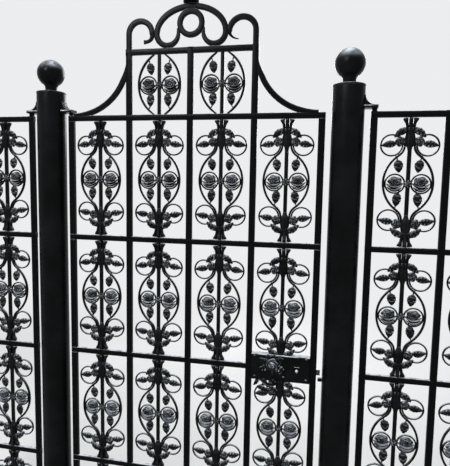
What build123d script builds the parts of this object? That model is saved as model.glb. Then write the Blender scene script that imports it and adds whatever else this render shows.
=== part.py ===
"""Single wrought iron gate with cast scroll panels, hung between round posts with a fence bay pair each side.

The origin is the centre of the hinge post's foot. X runs along the gate towards the lock post,
Y runs from the street side to the garden side, and Z is up. Lengths are millimetres.
"""
import os
from math import asin, atan, atan2, cos, degrees, hypot, radians, sin, sqrt

from build123d import *

os.makedirs("parts", exist_ok=True)

# Bays and rows
bay_pitch = 220.0
leaf_bays = 4
fence_bays = 2
row_pitch = 425.0
row_count = 4
bottom_rail_height = 60.0
crown_rise = 220.0

# Frame bars
stile_width = 22.0
stile_depth = 12.0
rail_height = 20.0
rail_depth = 12.0
bar_width = 12.5
casting_depth = 9.0

# Posts and their ball finials
post_diameter = 101.6
post_wall = 8.0
post_side_gap = 18.2
post_above_rail = 88.0
cap_overhang = 2.0
cap_thickness = 5.0
neck_diameter = 41.0
neck_height = 24.0
neck_flare = 11.0
ball_diameter = 93.0
ball_crown = 80.0
ball_steps = 7
finial_sides = 16

# Post brackets and the pivots between them
bracket_thickness = 10.0
bracket_depth = 36.0
bracket_overhang = 10.0
bracket_shelf = 11.0
bracket_sweep = 30.0
boss_height = 8.6
boss_width = 16.0
pivot_diameter = 9.0
pivot_reach = 7.0
pivot_clearance = 0.3
pivot_side_play = 0.5

# Cast scroll panels, measured from a panel's centre
bow_radius = 105.6
bow_reach = 74.3
bow_width = 7.0
crown_bow_end = 18.6
end_ring_x = 53.8
end_ring_z = 117.4
middle_ring_x = 39.1
middle_ring_radius = 29.0
ring_width = 5.6
collar_half_width = 11.7
collar_height = 34.0
knot_half_width = 8.5
tulip_half_width = 22.0
tulip_lip = 13.0
tulip_lip_height = 12.0
ring_sides = 6
bow_steps = 4

# Swan necks that lead from the top rail up to the crown
neck_bar_width = 19.5
neck_bar_depth = 12.0
neck_start = 30.0
neck_reach_x = 200.5
neck_reach_z = 188.8
neck_centre_x = 11.7

# Crown scrollwork above the crown rail
scroll_width = 19.5
scroll_depth = 12.0
hook_height = 56.0
hook_tail_radius = 27.0
arch_half_width = 119.3
arch_apex = 141.75
arch_foot_radius = 38.0
arch_foot_turn = 25.0
ring_radius = 38.0
ring_let_in = 3.5
finial_base_diameter = 54.0
finial_base_height = 14.0
finial_neck_diameter = 26.0
finial_neck_height = 16.0
finial_ball_diameter = 66.0

# Lock case, latch and rose knob
lock_height = 92.0
lock_depth = 22.0
lock_above_rail = 4.0
lock_edge = 2.0
latch_height = 18.0
latch_depth = 7.0
latch_above_rail = -1.0
latch_throw = 12.0
latch_tail = 30.0
latch_travel = 10.0
latch_clearance = 0.4
knob_x = 72.0
knob_above_rail = 19.0
knob_diameter = 42.0
knob_depth = 14.0
knob_stem_diameter = 12.0
knob_gap = 3.0
knob_petals = 10
key_plate_x = 155.0
key_plate_width = 18.0
key_plate_height = 30.0
key_plate_depth = 2.5
keyhole_width = 4.0
keyhole_height = 12.0
keyhole_depth = 5.0
stop_height = 12.0
stop_reach = 13.0
stop_depth = 10.0
stop_below_latch = 9.0

# Places worked out from the sizes above
post_radius = post_diameter / 2
post_offset = post_radius + post_side_gap + stile_width / 2
first_x = post_offset
last_x = first_x + leaf_bays * bay_pitch
lock_post_x = last_x + post_offset
rail_z = [bottom_rail_height + row * row_pitch for row in range(row_count + 1)]
top_z = rail_z[-1]
bottom_z = rail_z[0]
crown_z = top_z + crown_rise
lock_z = rail_z[2]
leaf_stile_x = [first_x + bay * bay_pitch for bay in range(leaf_bays + 1)]
crown_left = leaf_stile_x[1]
crown_right = leaf_stile_x[-2]
crown_middle = (crown_left + crown_right) / 2
fence_length = fence_bays * bay_pitch
left_end_x = -2 * post_offset - fence_length
right_end_x = lock_post_x + 2 * post_offset + fence_length
post_x = {"hinge": 0.0, "lock": lock_post_x, "left_end": left_end_x, "right_end": right_end_x}
post_height = top_z + post_above_rail
bar_top = top_z + rail_height / 2
bar_bottom = bottom_z - rail_height / 2


def save(piece, name):
    """Label a finished piece and write it as its own file."""
    piece.label = name
    export_step(piece, f"parts/{name}.step")


def polar(centre, radius, angle):
    """Give the point at an angle in degrees round a centre."""
    return (centre[0] + radius * cos(radians(angle)), centre[1] + radius * sin(radians(angle)))


def band(centre, radius, width, start, end, steps):
    """Give the corners of a straight-sided band that follows an arc from start to end."""
    angles = [start + (end - start) * step / steps for step in range(steps + 1)]
    outer = [polar(centre, radius + width / 2, angle) for angle in angles]
    inner = [polar(centre, radius - width / 2, angle) for angle in reversed(angles)]
    return outer + inner


def notched_bar(along, across, depth, start, end, laps, lap_side, lap_size):
    """Make a flat bar, halved on one side wherever another bar crosses it.

    along is the bar's direction, X or Z. across is its place on the other one.
    laps are the places of the crossing bars, and lap_size is how wide those are.
    """
    width = stile_width if along == "Z" else rail_height
    middle = (start + end) / 2
    lap_y = lap_side * depth / 2
    with BuildPart() as bar:
        if along == "Z":
            with Locations((across, 0, middle)):
                Box(width, depth, end - start)
            with Locations(*[(across, lap_y, lap) for lap in laps]):
                Box(width, depth, lap_size, mode=Mode.SUBTRACT)
        else:
            with Locations((middle, 0, across)):
                Box(end - start, depth, width)
            with Locations(*[(lap, lap_y, across) for lap in laps]):
                Box(lap_size, depth, width, mode=Mode.SUBTRACT)
    return bar.part


def stile(x, top, laps):
    """Make a stile whose street half is cut away at each rail."""
    return notched_bar("Z", x, stile_depth, bar_bottom, top, laps, -1, rail_height)


def rail(z, left, right, laps):
    """Make a rail whose garden half is cut away at each stile."""
    return notched_bar("X", z, rail_depth, left, right, laps, 1, stile_width)


# Posts, each a closed tube
for post_name, x in post_x.items():
    with BuildPart() as post:
        with Locations((x, 0, 0)):
            Cylinder(post_radius, post_height, align=(Align.CENTER, Align.CENTER, Align.MIN))
        with Locations((x, 0, post_wall)):
            Cylinder(
                post_radius - post_wall,
                post_height - 2 * post_wall,
                align=(Align.CENTER, Align.CENTER, Align.MIN),
                mode=Mode.SUBTRACT,
            )
    save(post.part, f"{post_name}_post")


def ball_levels(foot, neck, ball, steps):
    """Give the heights and radii of a ball that grows out of a neck at height foot."""
    sink = sqrt(ball**2 - neck**2)
    start = -degrees(asin(sink / ball))
    turns = [start + (ball_crown - start) * step / steps for step in range(steps + 1)]
    return [(foot + sink + ball * sin(radians(turn)), ball * cos(radians(turn))) for turn in turns]


def turned(levels, sides):
    """Make an upright turned piece with flat sides through the given heights and radii.

    Each stretch is drawn out from its lower level, drawing in by as much as its flats do.
    """
    with BuildPart() as piece:
        for (low, wide), (high, narrow) in zip(levels, levels[1:]):
            slope = (wide - narrow) * cos(radians(180 / sides)) / (high - low)
            with BuildSketch(Plane.XY.offset(low)):
                RegularPolygon(wide, sides)
            extrude(amount=high - low, taper=degrees(atan(slope)))
    return piece.part


# Ball finials of the posts
post_finial = turned(
    [
        (post_height, post_radius + cap_overhang),
        (post_height + cap_thickness, post_radius + cap_overhang),
    ],
    finial_sides,
) + turned(
    [
        (post_height + cap_thickness, neck_diameter / 2 + neck_flare),
        (post_height + cap_thickness + neck_height / 3, neck_diameter / 2 + neck_flare / 4),
    ]
    + ball_levels(post_height + cap_thickness + neck_height, neck_diameter / 2, ball_diameter / 2, ball_steps),
    finial_sides,
)
with BuildPart() as finials:
    with Locations(*[(x, 0, 0) for x in post_x.values()]):
        add(post_finial)
save(finials.part, "post_finials")


def bracket(x, side, end, drilled):
    """Make one post bracket: a shelf over or under a stile, swept back into the post.

    x is the post's centre, side is the way the bracket reaches, and end is 1 at the top or -1 at the foot.
    """
    shelf_z = bar_top + boss_height if end > 0 else bar_bottom - boss_height
    tip = post_offset + bracket_overhang
    sweep_foot = tip - bracket_shelf
    outline_plane = Plane(origin=(x, 0, shelf_z), x_dir=(side, 0, 0), z_dir=(0, -side * end, 0))
    with BuildPart() as shelf:
        with BuildSketch(outline_plane):
            with BuildLine():
                Polyline((0, 0), (tip, 0), (tip, bracket_thickness), (sweep_foot, bracket_thickness))
                rise = (post_radius, bracket_thickness + bracket_sweep)
                RadiusArc((sweep_foot, bracket_thickness), rise, bracket_sweep)
                Polyline(rise, (0, bracket_thickness + bracket_sweep), (0, 0))
            make_face()
        extrude(amount=bracket_depth / 2, both=True)
        with Locations((x, 0, shelf_z)):
            Cylinder(post_radius, 4 * (bracket_thickness + bracket_sweep), mode=Mode.SUBTRACT)
        if drilled:
            with Locations((x + side * post_offset, 0, shelf_z)):
                hole_radius = pivot_diameter / 2 + pivot_side_play
                hole_depth = pivot_reach + 2 * pivot_clearance
                Cylinder(hole_radius, 2 * hole_depth, mode=Mode.SUBTRACT)
    return shelf.part


with BuildPart() as pivot_brackets:
    for end in (1, -1):
        add(bracket(0, 1, end, True))
save(pivot_brackets.part, "pivot_brackets")

fence_ends = {
    "left": ((post_x["hinge"], -1), (post_x["left_end"], 1)),
    "right": ((post_x["lock"], 1), (post_x["right_end"], -1)),
}
for fence_name, ends in fence_ends.items():
    with BuildPart() as fence_brackets:
        for x, side in ends:
            for end in (1, -1):
                add(bracket(x, side, end, False))
    save(fence_brackets.part, f"{fence_name}_fence_brackets")


def panel_outline(half_height, full):
    """Draw one cast scroll panel with the bar that carries it, flat and about the panel's centre.

    Each bow runs into a curl round an end ring, so the bow, the curl and the ring's centre are in line
    where they meet. A full panel has end rings and tulips. A short one is only the bowed middle.
    """
    ring_centre = (end_ring_x, end_ring_z)
    bow_centre = (bow_reach - bow_radius, 0)
    radius = bow_radius
    rise = end_ring_z
    run = end_ring_x - bow_centre[0]
    bow_angle = degrees(atan2(rise, run))
    curl_radius = hypot(rise, run) - bow_radius
    ring_outer = curl_radius - bow_width / 2
    ring_inner = ring_outer - ring_width
    ring_turn = bow_angle + 180
    if not full:
        inset = bow_reach - crown_bow_end
        radius = (half_height**2 + inset**2) / (2 * inset)
        bow_angle = degrees(asin(half_height / radius))
        bow_centre = (bow_reach - radius, 0)
    with BuildSketch(mode=Mode.PRIVATE) as wing:
        with BuildLine():
            Polyline(*band(bow_centre, radius, bow_width, -bow_angle, bow_angle, bow_steps), close=True)
        make_face()
        with Locations((middle_ring_x, 0)):
            RegularPolygon(middle_ring_radius + ring_width / 2, ring_sides)
            RegularPolygon(middle_ring_radius - ring_width / 2, ring_sides, mode=Mode.SUBTRACT)
    with BuildSketch(mode=Mode.PRIVATE) as scroll:
        with Locations(ring_centre):
            RegularPolygon(ring_outer, ring_sides, rotation=ring_turn)
        with BuildLine():
            curl_end = ring_turn - 360 / ring_sides
            curl_width = curl_radius + bow_width / 2 - ring_inner
            Polyline(*band(ring_centre, ring_inner + curl_width / 2, curl_width, ring_turn, curl_end, 1), close=True)
        make_face()
        with Locations(ring_centre):
            RegularPolygon(ring_inner, ring_sides, rotation=ring_turn, mode=Mode.SUBTRACT)
    lower_scroll = mirror(scroll.sketch, about=Plane.XZ, mode=Mode.PRIVATE)
    with BuildSketch(mode=Mode.PRIVATE) as panel:
        Rectangle(bar_width, 2 * half_height)
        Rectangle(2 * knot_half_width, 2 * knot_half_width)
        add(wing.sketch)
        if full:
            add(scroll.sketch)
            add(lower_scroll)
        mirror(about=Plane.YZ)
        if full:
            for way in (1, -1):
                vase = [
                    (collar_half_width, end_ring_z),
                    (collar_half_width, end_ring_z + collar_height),
                    (tulip_half_width, half_height - tulip_lip_height),
                    (tulip_lip, half_height),
                ]
                right = [(x, way * z) for x, z in vase]
                left = [(-x, z) for x, z in reversed(right)]
                with BuildLine():
                    Polyline(*right, *left, close=True)
                make_face()
        else:
            Rectangle(bay_pitch, 2 * half_height, mode=Mode.INTERSECT)
    return panel.sketch


def street_plane(x, z, y=0.0):
    """Give the upright plane at a place on the gate, seen from the street."""
    return Plane(origin=(x, y, z), x_dir=(1, 0, 0), z_dir=(0, -1, 0))


row_middles = [(low + high) / 2 for low, high in zip(rail_z, rail_z[1:])]


def casting(pitch, full):
    """Make one panel between two rails that lie a pitch apart, about its own centre."""
    with BuildPart() as panel:
        with BuildSketch(street_plane(0, 0)):
            add(panel_outline((pitch - rail_height) / 2, full))
        extrude(amount=casting_depth / 2, both=True)
    return panel.part


full_casting = casting(row_pitch, True)
short_casting = casting(crown_rise, False)


# Leaf frame: stiles and rails halved into each other
crown_top = crown_z + rail_height / 2
crown_stiles = leaf_stile_x[1:-1]
for name, x in zip(("left_inner_stile", "centre_stile", "right_inner_stile"), crown_stiles):
    save(stile(x, crown_top, rail_z + [crown_z]), name)

with BuildPart() as hinge_stile:
    add(stile(first_x, bar_top, rail_z))
    for end, face_z in ((1, bar_top), (-1, bar_bottom)):
        seat = Plane(origin=(first_x, 0, face_z), z_dir=(0, 0, end))
        with BuildSketch(seat):
            Rectangle(boss_width, stile_depth)
        extrude(amount=boss_height - pivot_clearance)
        with BuildSketch(seat):
            Circle(pivot_diameter / 2)
        extrude(amount=boss_height + pivot_reach)
save(hinge_stile.part, "hinge_stile")

latch_z = lock_z + latch_above_rail
with BuildPart() as lock_stile:
    add(stile(last_x, bar_top, [z for z in rail_z if z != lock_z]))
    with Locations((last_x, 0, latch_z)):
        Box(
            2 * stile_width,
            latch_depth + 2 * latch_clearance,
            latch_height + 2 * latch_clearance,
            mode=Mode.SUBTRACT,
        )
save(lock_stile.part, "lock_stile")

leaf_left = first_x - stile_width / 2
leaf_right = last_x + stile_width / 2
rail_names = ("bottom_rail", "lower_rail", "lock_rail", "upper_rail", "top_rail")
for name, z in zip(rail_names, rail_z):
    right = crown_right + stile_width / 2 if z == lock_z else leaf_right
    save(rail(z, leaf_left, right, [x for x in leaf_stile_x if x < right]), name)
save(rail(crown_z, crown_left - stile_width / 2, crown_right + stile_width / 2, crown_stiles), "crown_rail")

# Castings of the leaf, one column of panels in each bay
lock_middle = lock_z + lock_above_rail
for bay in range(leaf_bays):
    x = first_x + (bay + 0.5) * bay_pitch
    with BuildPart() as castings:
        with Locations(*[(x, 0, z) for z in row_middles]):
            add(full_casting)
        if bay == leaf_bays - 1:
            with Locations((x, 0, lock_middle)):
                Box(bay_pitch, lock_depth, lock_height, mode=Mode.SUBTRACT)
    save(castings.part, f"bay_{bay + 1}_castings")

with BuildPart() as crown_castings:
    crown_bays = (crown_left + bay_pitch / 2, crown_right - bay_pitch / 2)
    with Locations(*[(x, 0, top_z + crown_rise / 2) for x in crown_bays]):
        add(short_casting)
save(crown_castings.part, "crown_castings")

# Swan necks, each the part of an oval band that stands clear of the rail and the inner stile
oval_z = neck_bar_width / 2 + neck_reach_z
with BuildPart() as swan_necks:
    with BuildSketch(street_plane(first_x, top_z)):
        with Locations((neck_centre_x, oval_z)):
            Ellipse(neck_reach_x + neck_bar_width / 2, neck_reach_z + neck_bar_width / 2)
            Ellipse(
                neck_reach_x - neck_bar_width / 2,
                neck_reach_z - neck_bar_width / 2,
                mode=Mode.SUBTRACT,
            )
        with Locations((neck_start, rail_height / 2)):
            Rectangle(
                bay_pitch - stile_width / 2 - neck_start,
                oval_z - rail_height / 2,
                align=(Align.MIN, Align.MIN),
                mode=Mode.INTERSECT,
            )
    extrude(amount=neck_bar_depth / 2, both=True)
    mirror(about=Plane.YZ.offset(crown_middle))
save(swan_necks.part, "swan_necks")

# Crown scrollwork, drawn about the middle of the crown rail's top edge
crown_plane = Plane(origin=(crown_middle, 0, crown_top), x_dir=(1, 0, 0), z_dir=(0, -1, 0))
half_scroll = scroll_width / 2
stile_reach = (crown_right - crown_left) / 2
arch_outer = arch_half_width + half_scroll
hook_radius = (stile_reach + half_scroll - arch_outer - scroll_width) / 2
hook_middle = stile_reach - hook_radius
spring_z = half_scroll + arch_foot_radius


def scroll_bar(path):
    """Give a drawn path the width and depth of a scroll bar, standing over the crown rail."""
    with BuildPart() as bar:
        with BuildSketch(crown_plane):
            trace(path, scroll_width)
        extrude(amount=scroll_depth / 2, both=True)
    return bar.part


with BuildLine(mode=Mode.PRIVATE) as hook:
    Line((stile_reach, 0), (stile_reach, hook_height))
    ThreePointArc(
        (stile_reach, hook_height),
        (hook_middle, hook_height + hook_radius),
        (hook_middle - hook_radius, hook_height),
    )
    tail_x = hook_middle - hook_radius + hook_tail_radius
    tail_turn = hook_tail_radius * cos(radians(45))
    ThreePointArc(
        (hook_middle - hook_radius, hook_height),
        (tail_x - tail_turn, hook_height - tail_turn),
        (tail_x, hook_height - hook_tail_radius),
    )
with BuildPart() as crown_hooks:
    add(scroll_bar(hook.line))
    mirror(about=Plane.YZ.offset(crown_middle))
save(crown_hooks.part, "crown_hooks")

with BuildLine(mode=Mode.PRIVATE) as arch:
    EllipticalCenterArc((0, spring_z), arch_half_width, arch_apex - half_scroll - spring_z, arc_size=180)
    for side in (1, -1):
        foot_centre = (side * (arch_half_width - arch_foot_radius), spring_z)
        tip_angle = arch_foot_turn if side < 0 else 180 - arch_foot_turn
        ThreePointArc(
            (side * arch_half_width, spring_z),
            polar(foot_centre, arch_foot_radius, 270),
            polar(foot_centre, arch_foot_radius, tip_angle),
        )
ring_z = arch_apex - scroll_width + ring_let_in - ring_radius - half_scroll
with BuildPart() as crown_arch:
    add(scroll_bar(arch.line))
    with BuildSketch(crown_plane):
        with Locations((0, ring_z)):
            Circle(ring_radius + half_scroll)
    extrude(amount=scroll_depth, both=True, mode=Mode.SUBTRACT)
save(crown_arch.part, "crown_arch")

with BuildPart() as crown_ring:
    with BuildSketch(crown_plane):
        with Locations((0, ring_z)):
            Circle(ring_radius + half_scroll)
            Circle(ring_radius - half_scroll, mode=Mode.SUBTRACT)
    extrude(amount=scroll_depth / 2, both=True)
save(crown_ring.part, "crown_ring")

base_foot = crown_top + arch_apex
neck_foot = base_foot + finial_base_height
neck_levels = [
    (base_foot, finial_base_diameter / 2),
    (neck_foot, finial_base_diameter / 2),
]
ball_foot = neck_foot + finial_neck_height
crown_ball = ball_levels(ball_foot, finial_neck_diameter / 2, finial_ball_diameter / 2, ball_steps)
with BuildPart() as crown_finial:
    with Locations((crown_middle, 0, 0)):
        add(turned(neck_levels + crown_ball, finial_sides))
save(crown_finial.part, "crown_finial")

# Lock case between the right inner stile and the lock stile
lock_left = crown_right + stile_width / 2
lock_right = last_x - stile_width / 2
knob_z = lock_z + knob_above_rail
with BuildPart() as lock_case:
    with Locations(((lock_left + lock_right) / 2, 0, lock_middle)):
        Box(lock_right - lock_left, lock_depth, lock_height)
    chamfer(lock_case.edges().filter_by(Axis.X), lock_edge)
    with BuildSketch(street_plane(lock_left + knob_x, knob_z)):
        Circle(knob_stem_diameter / 2 + latch_clearance)
    extrude(amount=lock_depth, both=True, mode=Mode.SUBTRACT)
    with BuildSketch(street_plane(lock_left + key_plate_x, latch_z, -lock_depth / 2)):
        Rectangle(key_plate_width, key_plate_height)
    extrude(amount=key_plate_depth)
    with BuildSketch(street_plane(lock_left + key_plate_x, latch_z, -lock_depth / 2 - key_plate_depth)):
        Rectangle(keyhole_width, keyhole_height)
    extrude(amount=-keyhole_depth, mode=Mode.SUBTRACT)
    pocket_length = latch_tail + latch_travel + latch_clearance
    with Locations((lock_right, 0, latch_z)):
        Box(
            2 * pocket_length,
            latch_depth + 2 * latch_clearance,
            latch_height + 2 * latch_clearance,
            mode=Mode.SUBTRACT,
        )
save(lock_case.part, "lock_case")

with BuildPart() as latch_bolt:
    with Locations((lock_right - latch_tail, 0, latch_z)):
        Box(
            latch_tail + stile_width + latch_throw,
            latch_depth,
            latch_height,
            align=(Align.MIN, Align.CENTER, Align.CENTER),
        )
save(latch_bolt.part, "latch_bolt")

# Rose knob, with the same rose on the garden side of its spindle
rose_foot = lock_depth / 2 + knob_gap
with BuildPart() as rose_knob:
    with BuildSketch(street_plane(lock_left + knob_x, knob_z)):
        Circle(knob_stem_diameter / 2)
    extrude(amount=rose_foot, both=True)
    for way in (1, -1):
        petal_plane = Plane(
            origin=(lock_left + knob_x, way * rose_foot, knob_z), x_dir=(-way, 0, 0), z_dir=(0, way, 0)
        )
        with BuildSketch(petal_plane):
            for turn in range(2):
                RegularPolygon(knob_diameter / 2, knob_petals // 2, rotation=turn * 360 / knob_petals)
        extrude(amount=knob_depth / 2)
        with BuildSketch(petal_plane.offset(knob_depth / 2)):
            RegularPolygon(knob_diameter / 4, knob_petals)
        extrude(amount=knob_depth / 2)
save(rose_knob.part, "rose_knob")

# Stop lug on the lock post, under the latch bolt
with BuildPart() as latch_stop:
    with Locations((lock_post_x, 0, latch_z - latch_height / 2 - stop_below_latch - stop_height / 2)):
        Box(
            post_radius + stop_reach,
            stop_depth,
            stop_height,
            align=(Align.MAX, Align.CENTER, Align.CENTER),
        )
        Cylinder(post_radius, 2 * stop_height, mode=Mode.SUBTRACT)
save(latch_stop.part, "latch_stop")

# Fence panels on both sides, welded up as one frame each
for fence_name, first_stile, way in (
    ("left", -post_offset, -1),
    ("right", lock_post_x + post_offset, 1),
):
    stile_places = [first_stile + way * bay * bay_pitch for bay in range(fence_bays + 1)]
    fence_middle = (stile_places[0] + stile_places[-1]) / 2
    with BuildPart() as fence_frame:
        for x in stile_places:
            with Locations((x, 0, (bar_top + bar_bottom) / 2)):
                Box(stile_width, stile_depth, bar_top - bar_bottom)
        for z in rail_z:
            with Locations((fence_middle, 0, z)):
                Box(fence_length + stile_width, rail_depth, rail_height)
        for x in (stile_places[0], stile_places[-1]):
            for end, face_z in ((1, bar_top), (-1, bar_bottom)):
                with BuildSketch(Plane(origin=(x, 0, face_z), z_dir=(0, 0, end))):
                    Rectangle(boss_width, stile_depth)
                extrude(amount=boss_height)
    save(fence_frame.part, f"{fence_name}_fence_frame")
    with BuildPart() as fence_castings:
        bay_middles = [start + way * bay_pitch / 2 for start in stile_places[:-1]]
        with Locations(*[(x, 0, z) for x in bay_middles for z in row_middles]):
            add(full_casting)
    save(fence_castings.part, f"{fence_name}_fence_castings")
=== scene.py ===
"""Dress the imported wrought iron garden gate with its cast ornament, paint, floor and light.

All sizes are millimetres in the gate's own frame: the origin is the centre of the hinge post's foot,
X runs towards the lock post, Y from the street to the garden and Z up. They become metres only when
a mesh is made. Every new piece is worked out as whole numpy arrays, and rides on its CAD body.
"""

import logging
from collections.abc import Iterable, Sequence
from dataclasses import dataclass, field, replace
from enum import Enum
from typing import ClassVar

import bmesh
import bpy
import numpy as np
from mathutils import Matrix
from numpy.typing import NDArray

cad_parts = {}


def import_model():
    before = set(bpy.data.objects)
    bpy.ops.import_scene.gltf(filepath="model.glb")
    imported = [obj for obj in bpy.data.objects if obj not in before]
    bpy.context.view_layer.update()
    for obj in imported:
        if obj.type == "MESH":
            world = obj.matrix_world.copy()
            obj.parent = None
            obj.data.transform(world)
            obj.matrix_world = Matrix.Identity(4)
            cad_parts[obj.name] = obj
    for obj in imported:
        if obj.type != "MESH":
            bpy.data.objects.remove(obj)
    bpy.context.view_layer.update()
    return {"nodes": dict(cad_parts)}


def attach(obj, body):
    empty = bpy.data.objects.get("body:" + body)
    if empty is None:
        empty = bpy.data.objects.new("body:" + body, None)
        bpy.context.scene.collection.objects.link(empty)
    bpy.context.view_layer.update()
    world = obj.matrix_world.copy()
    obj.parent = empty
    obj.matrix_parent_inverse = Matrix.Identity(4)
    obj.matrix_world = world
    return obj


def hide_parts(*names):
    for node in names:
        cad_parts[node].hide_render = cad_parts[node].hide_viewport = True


LOG = logging.getLogger("garden_gate")
MM = 0.001
# the mesh attribute that carries worn paint and painted glints
WEAR_AND_GLINT = "wear_and_glint"
PAINTED_HIGHLIGHT = 3.0  # the wear_and_glint of a bead painted bright all along, a painted highlight line
SHARP_PAST = 50.0  # degrees between two faces, past which their edge is shaded sharp
BEVEL_PAST = 35.0  # degrees between two faces, past which an arris is eased
BEVEL_FACES = 3
LEVEL_WITHIN = 0.5  # degrees within which neighbouring CAD faces become one
MERGE_WITHIN = 2e-5  # metres within which CAD points become one
Array = NDArray[np.float64]
IntArray = NDArray[np.int64]
Place = tuple[float, float]
Trio = tuple[float, float, float]
Item = bpy.types.Object
Material = bpy.types.Material
Tree = bpy.types.NodeTree
Socket = bpy.types.NodeSocket
Inputs = dict[str | int, object]


class Body(Enum):
    """The bodies that the pieces ride on."""

    ROOT = "root"
    LEAF = "leaf"
    KNOB = "knob"
    BOLT = "bolt"


class Slot(Enum):
    """The record's material slots."""

    POST = "post_paint"
    BAR = "bar_paint"
    CASTING = "casting_paint"
    LOCK = "lock_paint"
    BOLT = "bolt_steel"


class Tail(Enum):
    """The two ways in which a crown hook's tail was finished at the forge."""

    FISHTAIL = "fishtail"
    POINTED = "pointed"


# Surfaces


@dataclass
class Surface:
    """A closed surface on its way to becoming a mesh.

    Attributes:
        points: places in millimetres, one row each.
        quads: four point numbers for each four-sided face.
        triangles: three point numbers for each three-sided face.
        wear_and_glint: how hard each point is rubbed, and how bright a painted highlight it takes. 0 is
        untouched paint, and 1 or more is rubbed through or painted fully bright.
    """

    points: Array
    quads: IntArray
    triangles: IntArray
    wear_and_glint: Array

    def volume(self) -> float:
        """Return the signed volume, which is positive when the faces point outwards."""
        fans = np.vstack([self.triangles, self.quads[:, [0, 1, 2]], self.quads[:, [0, 2, 3]]])
        a, b, c = (self.points[fans[:, k]] for k in range(3))
        return float(np.einsum("ij,ij->i", a, np.cross(b, c)).sum() / 6)

    def facing_out(self) -> "Surface":
        """Return the surface with its faces pointing outwards."""
        return self if self.volume() >= 0 else self.turned_over(self.points)

    def turned_over(self, points: Array) -> "Surface":
        """Return the surface on other points, with every face turned round."""
        return replace(self, points=points, quads=self.quads[:, ::-1], triangles=self.triangles[:, ::-1])

    def moved(self, x: float = 0.0, y: float = 0.0, z: float = 0.0) -> "Surface":
        """Return a copy shifted by x, y and z."""
        return replace(self, points=self.points + np.array([x, y, z]))

    def rub_and_glint(self, share: float) -> "Surface":
        """Return the surface with its wear and painted glint scaled by a share."""
        return replace(self, wear_and_glint=self.wear_and_glint * share)

    def mirrored(self, axis: int) -> "Surface":
        """Return the mirror image across the plane where the axis is 0, still facing outwards."""
        flip = np.ones(3)
        flip[axis] = -1
        return self.turned_over(self.points * flip)

    def tilted(self, pull: float) -> "Surface":
        """Return a copy whose points lean by pull times their X in Y, as a casting set a little askew."""
        return replace(self, points=self.points + np.outer(pull * self.points[:, 0], [0.0, 1.0, 0.0]))


def joined(parts: Iterable[Surface]) -> Surface:
    """Put several surfaces into one.

    Args:
        parts: the surfaces, each closed by itself.

    Returns:
        One surface, whose face numbers are shifted by the points before them.
    """
    parts = list(parts)
    starts = np.cumsum([0] + [len(part.points) for part in parts[:-1]])
    return Surface(
        np.vstack([part.points for part in parts]),
        np.vstack([part.quads + start for part, start in zip(parts, starts)]),
        np.vstack([part.triangles + start for part, start in zip(parts, starts)]),
        np.concatenate([part.wear_and_glint for part in parts]),
    )


def closed_grid(points: Array, wear_and_glint: Array, poles: tuple[Array, Array] | None = None) -> Surface:
    """Close a grid of points into a surface.

    Formula: point (i, j) is joined to (i + 1, j), (i + 1, j + 1) and (i, j + 1). Columns wrap round.
    Rows wrap round too, unless poles are given: then each end row is closed by a fan to its pole.

    Args:
        points: rows by columns by 3.
        wear_and_glint: rows by columns, the rub and painted glint of each point.
        poles: the two end points, or None for a ring.

    Returns:
        The closed surface, facing outwards.
    """
    rows, columns = points.shape[:2]
    index = np.arange(rows * columns).reshape(rows, columns)
    low = index if poles is None else index[:-1]
    high = np.roll(index, -1, axis=0) if poles is None else index[1:]
    corners = [low, high, np.roll(high, -1, axis=1), np.roll(low, -1, axis=1)]
    quads = np.stack(corners, axis=-1).reshape(-1, 4)
    flat = points.reshape(-1, 3)
    rub_and_glint_mask = wear_and_glint.reshape(-1)
    triangles = np.zeros((0, 3), dtype=np.int64)
    if poles is not None:
        flat = np.vstack([flat, poles[0], poles[1]])
        rub_and_glint_mask = np.concatenate([rub_and_glint_mask, wear_and_glint[0, :1], wear_and_glint[-1, :1]])
        first, last = index[0], index[-1]
        start = np.stack([np.full(columns, len(flat) - 2), first, np.roll(first, -1)], axis=-1)
        end = np.stack([np.full(columns, len(flat) - 1), np.roll(last, -1), last], axis=-1)
        triangles = np.vstack([start, end])
    return Surface(flat, quads, triangles, rub_and_glint_mask).facing_out()


def unit(vectors: Array) -> Array:
    """Return the vectors at length 1."""
    return vectors / np.maximum(np.linalg.norm(vectors, axis=-1, keepdims=True), 1e-9)


def oval_section(sides: int, squareness: float = 1.0) -> Array:
    """Return a section of half width and half depth 1.

    Formula: at angle a the place is sign(cos a) |cos a|^q by sign(sin a) |sin a|^q. With q at 1 it is
    an oval, and the smaller q is, the squarer it gets.

    Args:
        sides: the number of points.
        squareness: the power q.

    Returns:
        sides by 2 places, across and in depth.
    """
    angle = (np.arange(sides) + 0.5) * 2 * np.pi / sides
    ring = np.stack([np.cos(angle), np.sin(angle)], axis=-1)
    return np.sign(ring) * np.abs(ring) ** squareness


def bar_section(width: float, depth: float, radius: float, steps: int = 3) -> Array:
    """Return the section of a bar with rounded arrises.

    Formula: each corner is a quarter circle about a centre set in from both faces by the radius.

    Args:
        width: the size across, in the gate's plane.
        depth: the size in Y.
        radius: the corner radius.
        steps: straight pieces in each corner.

    Returns:
        The places in millimetres, across and in depth, four corners in turn.
    """
    quarter = np.linspace(0, np.pi / 2, steps + 1)
    angle = (np.arange(4)[:, None] * np.pi / 2 + quarter).reshape(-1)
    corner = np.repeat([[1, 1], [-1, 1], [-1, -1], [1, -1]], steps + 1, axis=0)
    inset = np.array([width / 2 - radius, depth / 2 - radius])
    return corner * inset + radius * np.stack([np.cos(angle), np.sin(angle)], axis=-1)


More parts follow.
